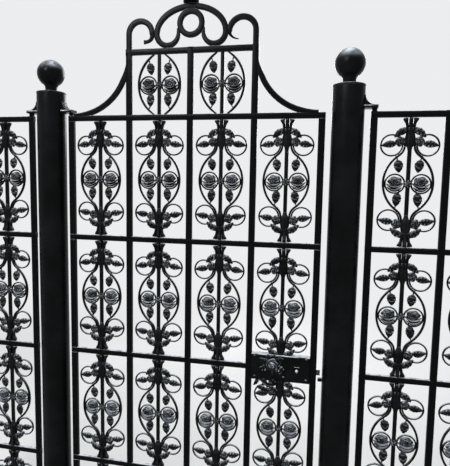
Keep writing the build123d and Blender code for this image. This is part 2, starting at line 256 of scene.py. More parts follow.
def carried(
    path: Array,
    section: Array,
    across: Array | float = 1.0,
    depth: Array | float = 1.0,
    ring: bool = False,
    dome: float = 0.4,
    wear_and_glint: float = 0.0,
) -> Surface:
    """Carry a section along a path.

    Formula: the point at step s and section place (u, v) is path(s) + u across(s) N(s) + v depth(s) B(s),
    where N is square to the path in the gate's plane and B is square to both. An open path ends in
    poles that stand out by dome times the last half width.

    Args:
        path: steps by 3 places.
        section: places by 2.
        across: factor on the section's width, for each step or for all.
        depth: factor on the section's depth, for each step or for all.
        ring: whether the path closes on itself.
        dome: how far the end poles stand out.
        wear_and_glint: the rub and painted glint at the section's corners.

    Returns:
        The closed surface.
    """
    step = np.roll(path, -1, axis=0) - np.roll(path, 1, axis=0) if ring else np.gradient(path, axis=0)
    tangent = unit(step)
    side = unit(np.cross(tangent, [0.0, 1.0, 0.0]))
    out = unit(np.cross(side, tangent))
    across = np.broadcast_to(across, len(path))[:, None, None]
    depth = np.broadcast_to(depth, len(path))[:, None, None]
    places = section[None, :, :, None]
    spread = across * places[:, :, 0] * side[:, None, :]
    points = path[:, None, :] + spread + depth * places[:, :, 1] * out[:, None, :]
    span = np.abs(section).max(axis=0)
    corner = (np.abs(section) < 0.995 * span).all(axis=-1).astype(float)
    rub_and_glint_mask = np.broadcast_to(wear_and_glint * corner, points.shape[:2])
    if ring:
        return closed_grid(points, rub_and_glint_mask)
    reach = dome * span[0] * across[[0, -1], 0, 0]
    poles = (path[0] - reach[0] * tangent[0], path[-1] + reach[1] * tangent[-1])
    return closed_grid(points, rub_and_glint_mask, poles)


def arc(centre: Place, radius: Place, start: float, end: float, steps: int) -> Array:
    """Return the places along an arc in the gate's plane.

    Formula: X is centre + radius cos a and Z is centre + radius sin a, with a from start to end.

    Args:
        centre: X and Z of the centre.
        radius: the radii in X and Z.
        start: first angle in degrees.
        end: last angle in degrees.
        steps: how many straight pieces.

    Returns:
        steps + 1 places by 3, with Y at 0.
    """
    angle = np.radians(np.linspace(start, end, steps + 1))
    x, z = centre[0] + radius[0] * np.cos(angle), centre[1] + radius[1] * np.sin(angle)
    return np.stack([x, np.zeros_like(angle), z], axis=-1)


def strung(*runs: Array) -> Array:
    """Join runs of places into one path, leaving out each run's first place after the first run."""
    return np.vstack([runs[0]] + [run[1:] for run in runs[1:]])


def smooth_path(places: Sequence[Sequence[float]], steps: int) -> Array:
    """Draw a smooth path through a few places.

    Formula: between two places the path is the cubic whose slope at each place is half the
    difference of its neighbours.

    Args:
        places: X, Y and Z of each place.
        steps: how many straight pieces there are in all.

    Returns:
        steps + 1 places by 3.
    """
    knots = np.asarray(places, dtype=float)
    slope = np.gradient(knots, axis=0)
    at = np.linspace(0, len(knots) - 1, steps + 1)
    low = np.minimum(at.astype(int), len(knots) - 2)
    t = (at - low)[:, None]
    leave = (2 * t**3 - 3 * t**2 + 1) * knots[low] + (t**3 - 2 * t**2 + t) * slope[low]
    return leave + (3 * t**2 - 2 * t**3) * knots[low + 1] + (t**3 - t**2) * slope[low + 1]


def stem(places: Sequence[Sequence[float]], steps: int, half_width: float, half_depth: float) -> Surface:
    """Return a thin stem carried through a few places, six-sided."""
    return carried(smooth_path(places, steps), oval_section(6), half_width, half_depth)


def turned(
    levels: Array, sides: int, centre: Place = (0.0, 0.0), wave: float = 0.0, sky_reflection: float = 0.0
) -> Surface:
    """Turn a profile round an upright axis.

    Formula: at angle a a level (z, r) gives X = r cos a, Y = r sin a, with r made uneven by
    wave times the sine of three turns that climb with z. What faces up takes a painted sky reflection of
    sky_reflection (n - 0.25) / 0.5, kept within 0 to sky_reflection, where n = -dr / sqrt(dz^2 + dr^2) faces up.

    Args:
        levels: z and r, from the foot to the top.
        sides: the number of sides.
        centre: X and Y of the axis.
        wave: how uneven the hand-painted face is.
        sky_reflection: how strongly a sky reflection is painted on what faces up.

    Returns:
        The closed surface.
    """
    z, r = levels[:, :1], levels[:, 1:]
    angle = np.arange(sides) * 2 * np.pi / sides
    radius = r + wave * np.sin(3 * angle + z / 140)
    x, y = centre[0] + radius * np.cos(angle), centre[1] + radius * np.sin(angle)
    points = np.stack([x, y, np.broadcast_to(z, radius.shape)], axis=-1)
    poles = (np.array([*centre, levels[0, 0]]), np.array([*centre, levels[-1, 0]]))
    step = np.gradient(levels, axis=0)
    facing = -step[:, 1:] / np.hypot(step[:, :1], step[:, 1:])
    sky_glint = sky_reflection * np.clip((facing - 0.25) / 0.5, 0, 1)
    return closed_grid(points, np.broadcast_to(sky_glint, points.shape[:2]), poles)


def rounded_levels(corners: Sequence[Trio], steps: int = 4) -> Array:
    """Round the corners of a turned profile.

    Formula: each corner is replaced by the curve between the places a radius before and after it,
    (1 - t)^2 A + 2 t (1 - t) corner + t^2 B.

    Args:
        corners: z, r and rounding radius of each corner.
        steps: straight pieces in each rounding.

    Returns:
        z and r of each level.
    """
    places = np.array([corner[:2] for corner in corners])
    levels = [places[:1]]
    t = np.linspace(0, 1, steps + 1)[:, None]
    for before, corner, after, row in zip(places, places[1:], places[2:], corners[1:-1]):
        start = corner + row[2] * unit(before - corner)
        end = corner + row[2] * unit(after - corner)
        levels.append((1 - t) ** 2 * start + 2 * t * (1 - t) * corner + t**2 * end)
    levels.append(places[-1:])
    return np.vstack(levels)


@dataclass(frozen=True)
class Leaf:
    """A cast leaf with a midrib and side ribs, alike on both faces.

    Attributes:
        base: X and Z where the leaf springs.
        tip: X and Z of its point.
        half_width: half its width at the widest place.
        thickness: half its thickness.
        bend: how far the midrib bows out of line.
        lift: Y of the base, negative towards the street.
        droop: how far the middle stands out in Y.
        ribs: the number of side ribs.
        lobes: how deep the edge is cut.
        fullness: where the widest place lies, below 1 nearer the base.
        taper: how sharply the outline runs out to its ends; 0.7 is round, 1.2 is a lens.
        midrib: the share by which the middle line stands out, negative for a groove.
    """

    base: Place
    tip: Place
    half_width: float
    thickness: float = 2.6
    bend: float = 0.0
    lift: float = 0.0
    droop: float = 0.0
    ribs: float = 5.0
    lobes: float = 0.08
    fullness: float = 0.75
    taper: float = 0.7
    midrib: float = -0.45

    def surface(self, steps: int, sides: int) -> Surface:
        """Work out the leaf.

        Formula: with u from base to tip and angle a round the section, v = cos a runs across. The half
        width is half_width sin(pi u^fullness)^taper, cut by lobes. The face stands out by
        thickness |sin a|^0.6 (1 + 0.35 cos(2 pi (ribs u - 0.9 |v|))), less towards both ends, and
        changed along the midrib. The crests of the ribs take a painted glint, most towards the edge.

        Args:
            steps: places along the leaf.
            sides: places round it.

        Returns:
            The closed surface.
        """
        base, tip = np.array(self.base), np.array(self.tip)
        along = tip - base
        normal = np.array([-along[1], along[0]]) / np.hypot(*along)
        u = np.linspace(0.02, 0.98, steps)[:, None]
        angle = (np.arange(sides) + 0.5) * 2 * np.pi / sides
        v, s = np.cos(angle), np.sin(angle)
        swell = np.sin(np.pi * u**self.fullness)
        ribs = np.cos(2 * np.pi * (self.ribs * u - 0.9 * np.abs(v)))
        half = self.half_width * swell**self.taper * (1 + self.lobes * ribs) + 0.8
        arch = 4 * u * (1 - u)
        face = self.thickness * np.sign(s) * np.abs(s) ** 0.6 * (0.45 + 0.55 * swell)
        face = face * (1 + 0.35 * ribs) * (1 + self.midrib * np.exp(-((v / 0.16) ** 2)))
        middle = base + along * u + normal * self.bend * arch
        places = middle[:, None, :] + normal * (half * v)[:, :, None]
        y = self.lift - self.droop * arch * (1 - 0.4 * v**2) + face
        points = np.stack([places[..., 0], y, places[..., 1]], axis=-1)
        # painted glints along the rib crests, brightest towards the edge
        rub_and_glint_mask = np.clip((ribs - 0.75) / 0.25, 0, 1) * np.clip(1.6 * np.abs(v), 0, 1) * swell
        ends = (np.array([base[0], self.lift, base[1]]), np.array([tip[0], self.lift, tip[1]]))
        return closed_grid(points, rub_and_glint_mask, ends)


@dataclass(frozen=True)
class Rose:
    """A cast rose, alike on both faces, whose petals step over each other.

    Attributes:
        centre: X and Z of its middle.
        radius: half its width.
        depth: how far each face stands out.
        petals: petals in each whorl.
        twist: how far the petals turn from the middle to the rim, in petals.
        squash: its height over its width.
    """

    centre: Place
    radius: float
    depth: float
    petals: int = 5
    twist: float = 2.4
    squash: float = 1.0

    def surface(self, rows: int, columns: int) -> Surface:
        """Work out the rose.

        Formula: rows run from the back's middle over the rim to the front's middle, at r = sin(pi t).
        The outline is radius (1 + 0.07 cos(petals a)). Each face stands out by
        depth |cos(pi t)|^0.8 (0.55 + 0.45 ramp), where ramp climbs from 0 to 1 over each petal as it
        winds round, so that its edge steps over the next one and takes a painted glint there.

        Args:
            rows: places from back to front.
            columns: places round the rim.

        Returns:
            The closed surface.
        """
        t = (np.arange(rows) + 0.5)[:, None] / rows
        angle = np.arange(columns) * 2 * np.pi / columns
        r = np.sin(np.pi * t)
        facing = np.cos(np.pi * t)
        ramp = np.mod(self.petals * angle / (2 * np.pi) + self.twist * r, 1.0)
        outline = self.radius * r * (1 + 0.07 * np.cos(self.petals * angle))
        stand = self.depth * np.sign(facing) * np.abs(facing) ** 0.8 * (0.55 + 0.45 * ramp)
        across, up = outline * np.cos(angle), self.squash * outline * np.sin(angle)
        x, z = self.centre
        points = np.stack([x + across, stand, z + up], axis=-1)
        poles = (np.array([x, 0.8 * self.depth, z]), np.array([x, -0.8 * self.depth, z]))
        # painted glints on the petals' stepped edges
        return closed_grid(points, np.clip(2.4 * ramp**8 * r, 0, 1), poles)


def linked(name: str, data: bpy.types.ID) -> Item:
    """Return a new object of a mesh, a lamp or a camera, linked into the scene."""
    made = bpy.data.objects.new(name, data)
    bpy.context.scene.collection.objects.link(made)
    return made


def as_object(name: str, surface: Surface) -> Item:
    """Make a Blender object of a surface.

    Args:
        name: the piece's name.
        surface: the closed surface, in millimetres.

    Returns:
        The object, at the origin, with its place in its mesh.
    """
    mesh = bpy.data.meshes.new(name)
    quads, triangles = surface.quads, surface.triangles
    corners = np.concatenate([quads.reshape(-1), triangles.reshape(-1)]).astype(np.int32)
    starts = np.concatenate([np.arange(len(quads)) * 4, len(quads) * 4 + np.arange(len(triangles)) * 3])
    mesh.vertices.add(len(surface.points))
    mesh.vertices.foreach_set("co", (surface.points * MM).astype(np.float32).reshape(-1))
    mesh.loops.add(len(corners))
    mesh.loops.foreach_set("vertex_index", corners)
    mesh.polygons.add(len(starts))
    mesh.polygons.foreach_set("loop_start", starts.astype(np.int32))
    mesh.update(calc_edges=True)
    mesh.validate()
    mesh.polygons.foreach_set("use_smooth", np.ones(len(mesh.polygons), dtype=bool))
    mesh.set_sharp_from_angle(angle=np.radians(SHARP_PAST))
    layer = mesh.attributes.new(WEAR_AND_GLINT, "FLOAT", "POINT")
    layer.data.foreach_set("value", surface.wear_and_glint.astype(np.float32))
    return linked(name, mesh)


def eased_copy(name: str, source: Item, width: float) -> Item:
    """Copy a CAD node and ease its arrises with a bevel.

    Args:
        name: the new piece's name.
        source: the CAD node's object.
        width: the bevel's width in millimetres.

    Returns:
        The new object, merged, with a live Bevel modifier.
    """
    mesh = source.data.copy()
    mesh.name = name
    work = bmesh.new()
    work.from_mesh(mesh)
    bmesh.ops.remove_doubles(work, verts=work.verts, dist=MERGE_WITHIN)
    bmesh.ops.dissolve_limit(work, angle_limit=np.radians(LEVEL_WITHIN), verts=work.verts, edges=work.edges)
    work.to_mesh(mesh)
    work.free()
    made = linked(name, mesh)
    ease = made.modifiers.new("eased_arris", "BEVEL")
    ease.width = width * MM
    ease.segments = BEVEL_FACES
    ease.limit_method = "ANGLE"
    ease.angle_limit = np.radians(BEVEL_PAST)
    return made


# Finishes


def new_group(name: str, inputs: dict[str, object], outputs: dict[str, str]) -> Tree:
    """Start a shader node group with named sockets.

    Args:
        name: the group's name.
        inputs: each input's default, a number or an RGBA tuple.
        outputs: each output's socket type.

    Returns:
        The group, with its input and output nodes named "in" and "out".
    """
    group = bpy.data.node_groups.new(name, "ShaderNodeTree")
    for key, value in inputs.items():
        kind = "NodeSocketFloat" if isinstance(value, float) else "NodeSocketColor"
        group.interface.new_socket(key, in_out="INPUT", socket_type=kind).default_value = value
    for key, kind in outputs.items():
        group.interface.new_socket(key, in_out="OUTPUT", socket_type=kind)
    group.nodes.new("NodeGroupInput").name = "in"
    group.nodes.new("NodeGroupOutput").name = "out"
    return group


@dataclass
class Wiring:
    """Short ways to place and join nodes in one tree.

    Attributes:
        tree: the material's or the group's node tree.
    """

    tree: Tree

    def feed(self, target: Socket, source: object) -> None:
        """Link a socket, or set its value, into the target."""
        if isinstance(source, Socket):
            self.tree.links.new(source, target)
        else:
            target.default_value = source

    def feed_all(self, placed: bpy.types.Node, inputs: Inputs) -> None:
        """Feed several inputs of one node, by name or by number."""
        for key, source in inputs.items():
            self.feed(placed.inputs[key], source)

    def node(self, kind: str, inputs: Inputs | None = None, **settings: object) -> bpy.types.Node:
        """Place a node, set its properties and feed its inputs."""
        placed = self.tree.nodes.new(kind)
        for key, value in settings.items():
            setattr(placed, key, value)
        self.feed_all(placed, inputs or {})
        return placed

    def math(self, operation: str, a: object, b: object, clamp: bool = False) -> Socket:
        """Place a Math node and return its result."""
        return self.node("ShaderNodeMath", {0: a, 1: b}, operation=operation, use_clamp=clamp).outputs[0]

    def times(self, a: object, b: object, clamp: bool = False) -> Socket:
        """Return the product of two values."""
        return self.math("MULTIPLY", a, b, clamp)

    def blend(self, share: object, a: object, b: object) -> Socket:
        """Mix two colours by a share and return the colour."""
        return self.node("ShaderNodeMix", {"Factor": share, 6: a, 7: b}, data_type="RGBA").outputs[2]

    def noise(self, scale: float, detail: float, stretch: Sequence[float] = (1, 1, 1)) -> Socket:
        """Place a noise on Object coordinates, stretched along the axes, and return its value."""
        place = self.node("ShaderNodeTexCoord").outputs["Object"]
        mapped = self.node("ShaderNodeMapping", {"Scale": stretch, "Vector": place}).outputs[0]
        inputs = {"Vector": mapped, "Scale": scale, "Detail": detail}
        return self.node("ShaderNodeTexNoise", inputs).outputs["Fac"]

    def step(self, value: object, low: float, high: float) -> Socket:
        """Map a value smoothly to 0 below low and 1 above high."""
        inputs = {0: value, 1: low, 2: high}
        return self.node("ShaderNodeMapRange", inputs, interpolation_type="SMOOTHSTEP").outputs[0]

    def bump(self, height: object, distance: float) -> Socket:
        """Turn a height into a normal, the full height being a distance in metres."""
        return self.node("ShaderNodeBump", {"Distance": distance, "Height": height}).outputs["Normal"]


def new_material(name: str) -> tuple[Material, Wiring, bpy.types.Node]:
    """Start a material, and return it with its wiring and its Principled BSDF."""
    made = bpy.data.materials.new(name)
    made.use_nodes = True
    return made, Wiring(made.node_tree), made.node_tree.nodes["Principled BSDF"]


def brushed_coat_group() -> Tree:
    """Build the relief of paint laid on by brush: long strokes, sags and a fine grit.

    Returns:
        A group with the inputs Strokes and Grit, and the output Height.
    """
    group = new_group("brushed_coat", {"Strokes": 0.5, "Grit": 0.3}, {"Height": "NodeSocketFloat"})
    wires = Wiring(group)
    given, out = group.nodes["in"].outputs, group.nodes["out"].inputs
    strokes = wires.noise(90.0, 3.0, (1.0, 1.0, 0.14))
    sags = wires.noise(28.0, 1.0)
    grit = wires.noise(900.0, 2.0)
    height = wires.times(wires.math("ADD", strokes, sags), given["Strokes"])
    wires.feed(out["Height"], wires.math("ADD", height, wires.times(grit, given["Grit"])))
    return group


def weather_and_glint_group() -> Tree:
    """Build the weather on outdoor paint, with painted light: dust and a painted sky sheen on what faces up,
    rubbed arrises with painted glints, and cloudy patches.

    The mesh's wear_and_glint, broken up by a noise, marks rubbed arrises and painted glints: that part takes
    the Rub and glint colour and glints as metal does. Dust settles in patches on level faces, over a thin
    painted sky sheen on everything that faces up.

    Returns:
        A group with the inputs Paint, Dust and sheen, Rub and glint, Dust and sheen amount and Rub and
        glint amount, and the outputs Colour, Dullness and Glint.
    """
    group = new_group(
        "outdoor_weather_and_glints",
        {
            "Paint": (0.01, 0.01, 0.01, 1.0),
            "Dust and sheen": (0.2, 0.2, 0.18, 1.0),
            "Rub and glint": (0.08, 0.07, 0.06, 1.0),
            "Dust and sheen amount": 0.3,
            "Rub and glint amount": 0.3,
        },
        {"Colour": "NodeSocketColor", "Dullness": "NodeSocketFloat", "Glint": "NodeSocketFloat"},
    )
    wires = Wiring(group)
    given, out = group.nodes["in"].outputs, group.nodes["out"].inputs
    normal = wires.node("ShaderNodeNewGeometry").outputs["Normal"]
    up = wires.node("ShaderNodeSeparateXYZ", {0: normal}).outputs[2]
    settled = wires.times(wires.step(up, 0.35, 0.95), wires.step(wires.noise(60.0, 4.0), 0.2, 0.6))
    # painted sky sheen: every face that looks up is lightened towards the dust colour, as a reflection of the sky
    film = wires.times(wires.step(up, 0.0, 0.9), 0.16)
    dust_and_sheen = wires.times(wires.math("MAXIMUM", settled, film), given["Dust and sheen amount"], clamp=True)
    # worn paint and painted glints: the mesh's wear marks both, and that part takes a pale colour and glints as
    # metal
    rub_and_glint_mask = wires.node("ShaderNodeAttribute", attribute_name=WEAR_AND_GLINT).outputs["Fac"]
    bare_and_glint = wires.times(rub_and_glint_mask, wires.step(wires.noise(40.0, 5.0), 0.3, 0.7))
    bare_and_glint = wires.times(bare_and_glint, given["Rub and glint amount"], clamp=True)
    cloud = wires.step(wires.noise(9.0, 4.0), 0.3, 0.75)
    tone = wires.blend(wires.times(cloud, 0.006), given["Paint"], given["Rub and glint"])
    worn = wires.blend(bare_and_glint, tone, given["Rub and glint"])
    wires.feed(out["Colour"], wires.blend(dust_and_sheen, worn, given["Dust and sheen"]))
    dull = wires.math("ADD", wires.times(dust_and_sheen, 0.5), wires.times(cloud, 0.12))
    wires.feed(out["Dullness"], wires.math("ADD", dull, wires.times(bare_and_glint, 0.15)))
    wires.feed(out["Glint"], bare_and_glint)
    return group


@dataclass(frozen=True)
class GlossPaint:
    """Black outdoor gloss paint over iron.

    Attributes:
        name: the material's name.
        paint: the paint's colour.
        dust_and_sheen: the colour of settled dust, and of the painted sky sheen on what faces up.
        rub_and_glint: the colour of rubbed arrises and of painted glints.
        dust_and_sheen_amount: share of dust and painted sheen on upward faces.
        rub_and_glint_amount: share of rub and painted glint on arrises and crests.
        roughness: of the clean paint.
        strokes: strength of the brush strokes.
        grit: strength of the grit in the paint.
        relief: the height in metres of the whole relief.
        gloss: the paint's specular level.
    """

    name: str
    paint: Trio = (0.0018, 0.0026, 0.0026)
    dust_and_sheen: Trio = (0.5, 0.54, 0.58)
    rub_and_glint: Trio = (0.06, 0.067, 0.07)
    dust_and_sheen_amount: float = 0.5
    rub_and_glint_amount: float = 0.4
    roughness: float = 0.24
    strokes: float = 0.5
    grit: float = 0.25
    relief: float = 0.0006
    gloss: float = 0.045

    def material(self, groups: dict[str, Tree]) -> Material:
        """Build the material.

        Args:
            groups: the shared effects by name.

        Returns:
            The material, with its Principled BSDF in the material itself.
        """
        made, wires, shader = new_material(self.name)
        colours = {"Paint": self.paint, "Dust and sheen": self.dust_and_sheen, "Rub and glint": self.rub_and_glint}
        given = {key: (*colour, 1.0) for key, colour in colours.items()}
        given |= {"Dust and sheen amount": self.dust_and_sheen_amount, "Rub and glint amount": self.rub_and_glint_amount}
        weather = wires.node("ShaderNodeGroup", node_tree=groups["weather"])
        wires.feed_all(weather, given)
        coat = wires.node("ShaderNodeGroup", node_tree=groups["coat"])
        wires.feed_all(coat, {"Strokes": self.strokes, "Grit": self.grit})
        inputs = {
            "Base Color": weather.outputs["Colour"],
            "Roughness": wires.math("ADD", weather.outputs["Dullness"], self.roughness, clamp=True),
            "Metallic": weather.outputs["Glint"],
            "Normal": wires.bump(coat.outputs["Height"], self.relief),
            "Specular IOR Level": self.gloss,
        }
        wires.feed_all(shader, inputs)
        return made


@dataclass(frozen=True)
class BoltSteel:
    """Bare steel of the latch bolt, blackened by grease and weather.

    Attributes:
        name: the material's name.
        bright: the colour of the blackened steel.
        stain: the colour of the brown film.
    """

    name: str = "rubbed_bolt_steel"
    bright: Trio = (0.04, 0.042, 0.045)
    stain: Trio = (0.014, 0.012, 0.011)

    def material(self) -> Material:
        """Build the material, with faint scratches along the bolt's travel."""
        made, wires, shader = new_material(self.name)
        scratches = wires.noise(300.0, 3.0, (0.06, 1.0, 1.0))
        film = wires.step(wires.noise(70.0, 5.0), 0.42, 0.66)
        inputs = {
            "Base Color": wires.blend(film, (*self.bright, 1.0), (*self.stain, 1.0)),
            "Roughness": wires.math("ADD", wires.times(scratches, 0.3), 0.25),
            "Metallic": wires.math("SUBTRACT", 1.0, film, clamp=True),
            "Normal": wires.bump(scratches, 0.0002),
        }
        wires.feed_all(shader, inputs)
        return made


@dataclass
class Finishes:
    """All the gate's materials by record slot.

    Attributes:
        by_slot: the materials, once they are mixed.
        carved: what the finishes of cast and forged ornament share, with a pale colour for painted glints.
        level: what the finishes of bars and lock share, with thick pale dust and a painted sky sheen on their
            level faces.
    """

    by_slot: dict[Slot, Material] = field(default_factory=dict)
    carved: ClassVar[dict[str, object]] = {
        # painted glint colour: a pale blue-white that stands in for the sky's reflection on crests and rims
        "rub_and_glint": (0.62, 0.68, 0.75),
        "roughness": 0.2,
        "rub_and_glint_amount": 0.95,
        "gloss": 0.05,
    }
    # painted highlight: thick pale dust on the level tops of bars and lock, standing in for the sky's sheen along
    # them
    level: ClassVar[dict[str, object]] = {"dust_and_sheen_amount": 1.0, "dust_and_sheen": (0.68, 0.72, 0.76)}

    def mix(self) -> None:
        """Build the shared effects once, and every finish from them."""
        groups = {"coat": brushed_coat_group(), "weather": weather_and_glint_group()}
        settings = {
            Slot.POST: self.carved | {"rub_and_glint_amount": 0.75, "strokes": 0.7, "relief": 0.0008, "dust_and_sheen_amount": 0.4},
            Slot.BAR: self.level | {"rub_and_glint_amount": 0.7},
            Slot.CASTING: self.carved | {"grit": 0.5, "dust_and_sheen_amount": 0.8},
            Slot.LOCK: self.carved | self.level | {"strokes": 0.7},
        }
        for slot, values in settings.items():
            name = slot.value.replace("_paint", "_gloss_paint")
            self.by_slot[slot] = GlossPaint(name, **values).material(groups)
        self.by_slot[Slot.BOLT] = BoltSteel().material()


@dataclass
class Workshop:
    """What every sub-assembly needs to fit its pieces: the CAD nodes and the finishes.

    Attributes:
        nodes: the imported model's node objects.
        finishes: the materials.
    """

    nodes: dict[str, Item]
    finishes: Finishes

    def fit(self, piece: Item, body: Body, slot: Slot, stands_for: Sequence[str] = ()) -> None:
        """Give a piece its finish, body and slot, and hide the CAD nodes that it stands for.

        Args:
            piece: the finished piece.
            body: the body it rides on.
            slot: the finish it takes.
            stands_for: the CAD nodes that it replaces.
        """
        piece.data.materials.clear()
        piece.data.materials.append(self.finishes.by_slot[slot])
        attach(piece, body.value)
        if stands_for:
            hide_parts(*stands_for)
        LOG.info("%s rides on %s, %d faces", piece.name, body.value, len(piece.data.polygons))

    def form(self, name: str, surface: Surface, body: Body, slot: Slot, stands_for: Sequence[str] = ()) -> None:
        """Make a piece of a surface and fit it."""
        self.fit(as_object(name, surface), body, slot, stands_for)

    def ease(self, name: str, node: str, width: float, body: Body, slot: Slot) -> None:
        """Make a piece of a CAD node, its arrises eased by a width, and fit it in the node's place."""
        self.fit(eased_copy(name, self.nodes[node], width), body, slot, [node])


# The gate


@dataclass(frozen=True)
class Layout:
    """Where the frame's lines lie, as the CAD source has them."""

    bay_pitch: float = 220.0
    rail_z: tuple[float, ...] = (60.0, 485.0, 910.0, 1335.0, 1760.0)
    crown_z: float = 1980.0
    stile_x: tuple[float, ...] = (80.0, 300.0, 520.0, 740.0, 960.0)
    post_x: tuple[float, ...] = (-600.0, 0.0, 1040.0, 1640.0)
    fence_x: tuple[tuple[float, ...], ...] = ((-520.0, -300.0, -80.0), (1120.0, 1340.0, 1560.0))
    rail_height: float = 20.0
    stile_width: float = 22.0

    def row_middles(self) -> list[float]:
        """Return the Z of the middle of each row of panels."""
        return [(low + high) / 2 for low, high in zip(self.rail_z, self.rail_z[1:])]


@dataclass(frozen=True)
class ScrollPanel:
    """One cast panel: bows, curls and rings about a bar, with leaves, buds and roses.

    Lengths are about the panel's centre. Only the right half is drawn, and the rest is its mirror image.
    """

    half_height: float = 202.5
    bow_radius: float = 105.6
    bow_reach: float = 74.3
    bow_width: float = 7.0
    ring_centre: Place = (53.8, 117.4)
    ring_radius: float = 32.6
    middle_centre: Place = (39.1, -2.0)
    middle_radius: float = 29.4
    ring_width: float = 5.6
    bar_width: float = 12.5
    thickness: float = 9.0
    crown_half_height: float = 100.0
    crown_bow_end: float = 18.6
    scroll_wear_and_glint: float = 0.008
    edge_wear_and_glint: float = 0.012

    def scroll(self, path: Array, half_width: Array, half_depth: Array | float) -> Surface:
        """Carry a bow's bar along a path."""
        return carried(path, oval_section(10, 0.62), half_width, half_depth, wear_and_glint=self.scroll_wear_and_glint)

    def bow(self) -> Surface:
        """Carry the bow from collar to collar: an arc outwards, back round each ring and along the bar."""
        centre = (self.bow_reach - self.bow_radius, 0.0)
        run, rise = self.ring_centre[0] - centre[0], self.ring_centre[1]
        turn = np.degrees(np.arctan2(rise, run))
        curl = np.hypot(run, rise) - self.bow_radius
        curve = arc(self.ring_centre, (curl, curl), turn + 180, 190, 7)
        end = smooth_path([curve[-2], curve[-1], (13.5, 0, 134), (11.0, 0, 150), (9.5, 0, 160)], 9)[3:]
        upper = strung(curve, end)
        lower = upper[::-1] * np.array([1, 1, -1])
        path = strung(lower, arc(centre, (self.bow_radius,) * 2, -turn, turn, 26), upper)
        along = np.linspace(-1, 1, len(path))
        half = self.bow_width / 2 * (1.06 - 0.3 * np.abs(along) ** 6)
        return self.scroll(path, half, self.thickness / 2 * (1 - 0.2 * along**8))

    def ring(self, centre: Place, radius: float) -> Surface:
        """Carry a ring's bar once round its centre."""
        path = arc(centre, (radius, radius), 0, 360, 28)[:-1]
        section = oval_section(8, 0.75)
        depth = self.thickness * 0.42
        return carried(path, section, self.ring_width / 2, depth, ring=True, wear_and_glint=self.scroll_wear_and_glint)

    def collar(self) -> Surface:
        """Swell a collar round the bar, between the curls and the tulip."""
        z = [102, 110, 116, 124, 134, 146, 154, 158, 162, 167, 172]
        half = np.array([6.4, 8.0, 11.5, 12.8, 12.8, 11.8, 10.4, 11.0, 13.0, 11.5, 7.5])
        path = np.outer(z, [0.0, 0.0, 1.0])
        return carried(path, oval_section(14, 0.85), half, 3.0 + 0.5 * half, wear_and_glint=self.scroll_wear_and_glint)

    def tulip(self) -> list[Surface]:
        """Flare one broad petal outwards beside the bar, and one narrow petal on each face."""
        places = [(9.6, 158), (10, 168), (10.8, 176), (11.4, 183), (13.2, 190), (15, 196), (15.6, 200.5)]
        side = smooth_path([(x, 0, z) for x, z in places], 12)
        at = np.linspace(0, 1, 13)
        widths = np.interp(at, [0, 0.25, 0.42, 0.58, 0.75, 0.9, 1], [4.8, 4.6, 4.4, 4.8, 6.6, 8.4, 8.2])
        depths = np.interp(at, [0, 0.8, 1], [6.5, 9.0, 6.5])
        petal = carried(side, oval_section(12, 0.8), widths, depths, dome=0.15, wear_and_glint=self.edge_wear_and_glint)
        places = [(-6.0, 158), (-7.5, 172), (-10.0, 186), (-12.0, 195), (-10.5, 200)]
        face = smooth_path([(0, y, z) for y, z in places], 10)
        narrow = np.interp(np.linspace(0, 1, 11), [0, 0.4, 0.8, 1], [4.0, 4.0, 5.4, 2.0])
        front = carried(face, oval_section(10, 0.85), narrow, 2.2, wear_and_glint=self.edge_wear_and_glint)
        return [petal, front, front.mirrored(1)]

    def leaves(self) -> list[Surface]:
        """Return one end's right side: the shoulder leaf, the bud below it, the ring's leaf and a stem."""
        shoulder = {"bend": 5.0, "droop": 4.0, "ribs": 4.0, "lobes": 0.06, "fullness": 0.9}
        pointed = {"bend": 2.0, "droop": 3.0, "lobes": 0.03, "taper": 1.15, "midrib": 0.5}
        return [
            Leaf((1.0, 167.0), (47.0, 142.0), 10.6, 6.0, **shoulder).surface(18, 12),
            Leaf((38.0, 122.0), (88.0, 115.0), 10.9, 4.6, **pointed).surface(20, 12),
            Rose((28.5, 129.0), 15.0, 9.5, twist=1.6, squash=1.08).surface(11, 25),
            stem([(11, 0, 128), (18, 0, 124), (26, 0, 123), (36, 0, 122)], 8, 2.0, 2.8),
        ]

    def bow_leaves(self) -> list[Surface]:
        """Return the leaf that hangs from the bow and the one below the rose, with their stems."""
        hanging = {"droop": 3.0, "lobes": 0.07}
        return [
            Leaf((34.5, 72.5), (28, 32.5), 13.6, 3.8, bend=-1.0, fullness=0.8, **hanging).surface(18, 12),
            Leaf((28, -30), (33, -74), 13.2, 3.8, bend=1.0, fullness=0.85, **hanging).surface(18, 12),
            stem([(40, 0, 84), (35.5, 0, 78), (34.5, 0, 68)], 5, 2.2, 2.8),
            stem([(25, 0, -22), (26, 0, -29), (29, 0, -38)], 5, 2.2, 2.8),
            stem([(32, 0, -68), (35, 0, -77), (40, 0, -82)], 4, 2.2, 2.8),
        ]

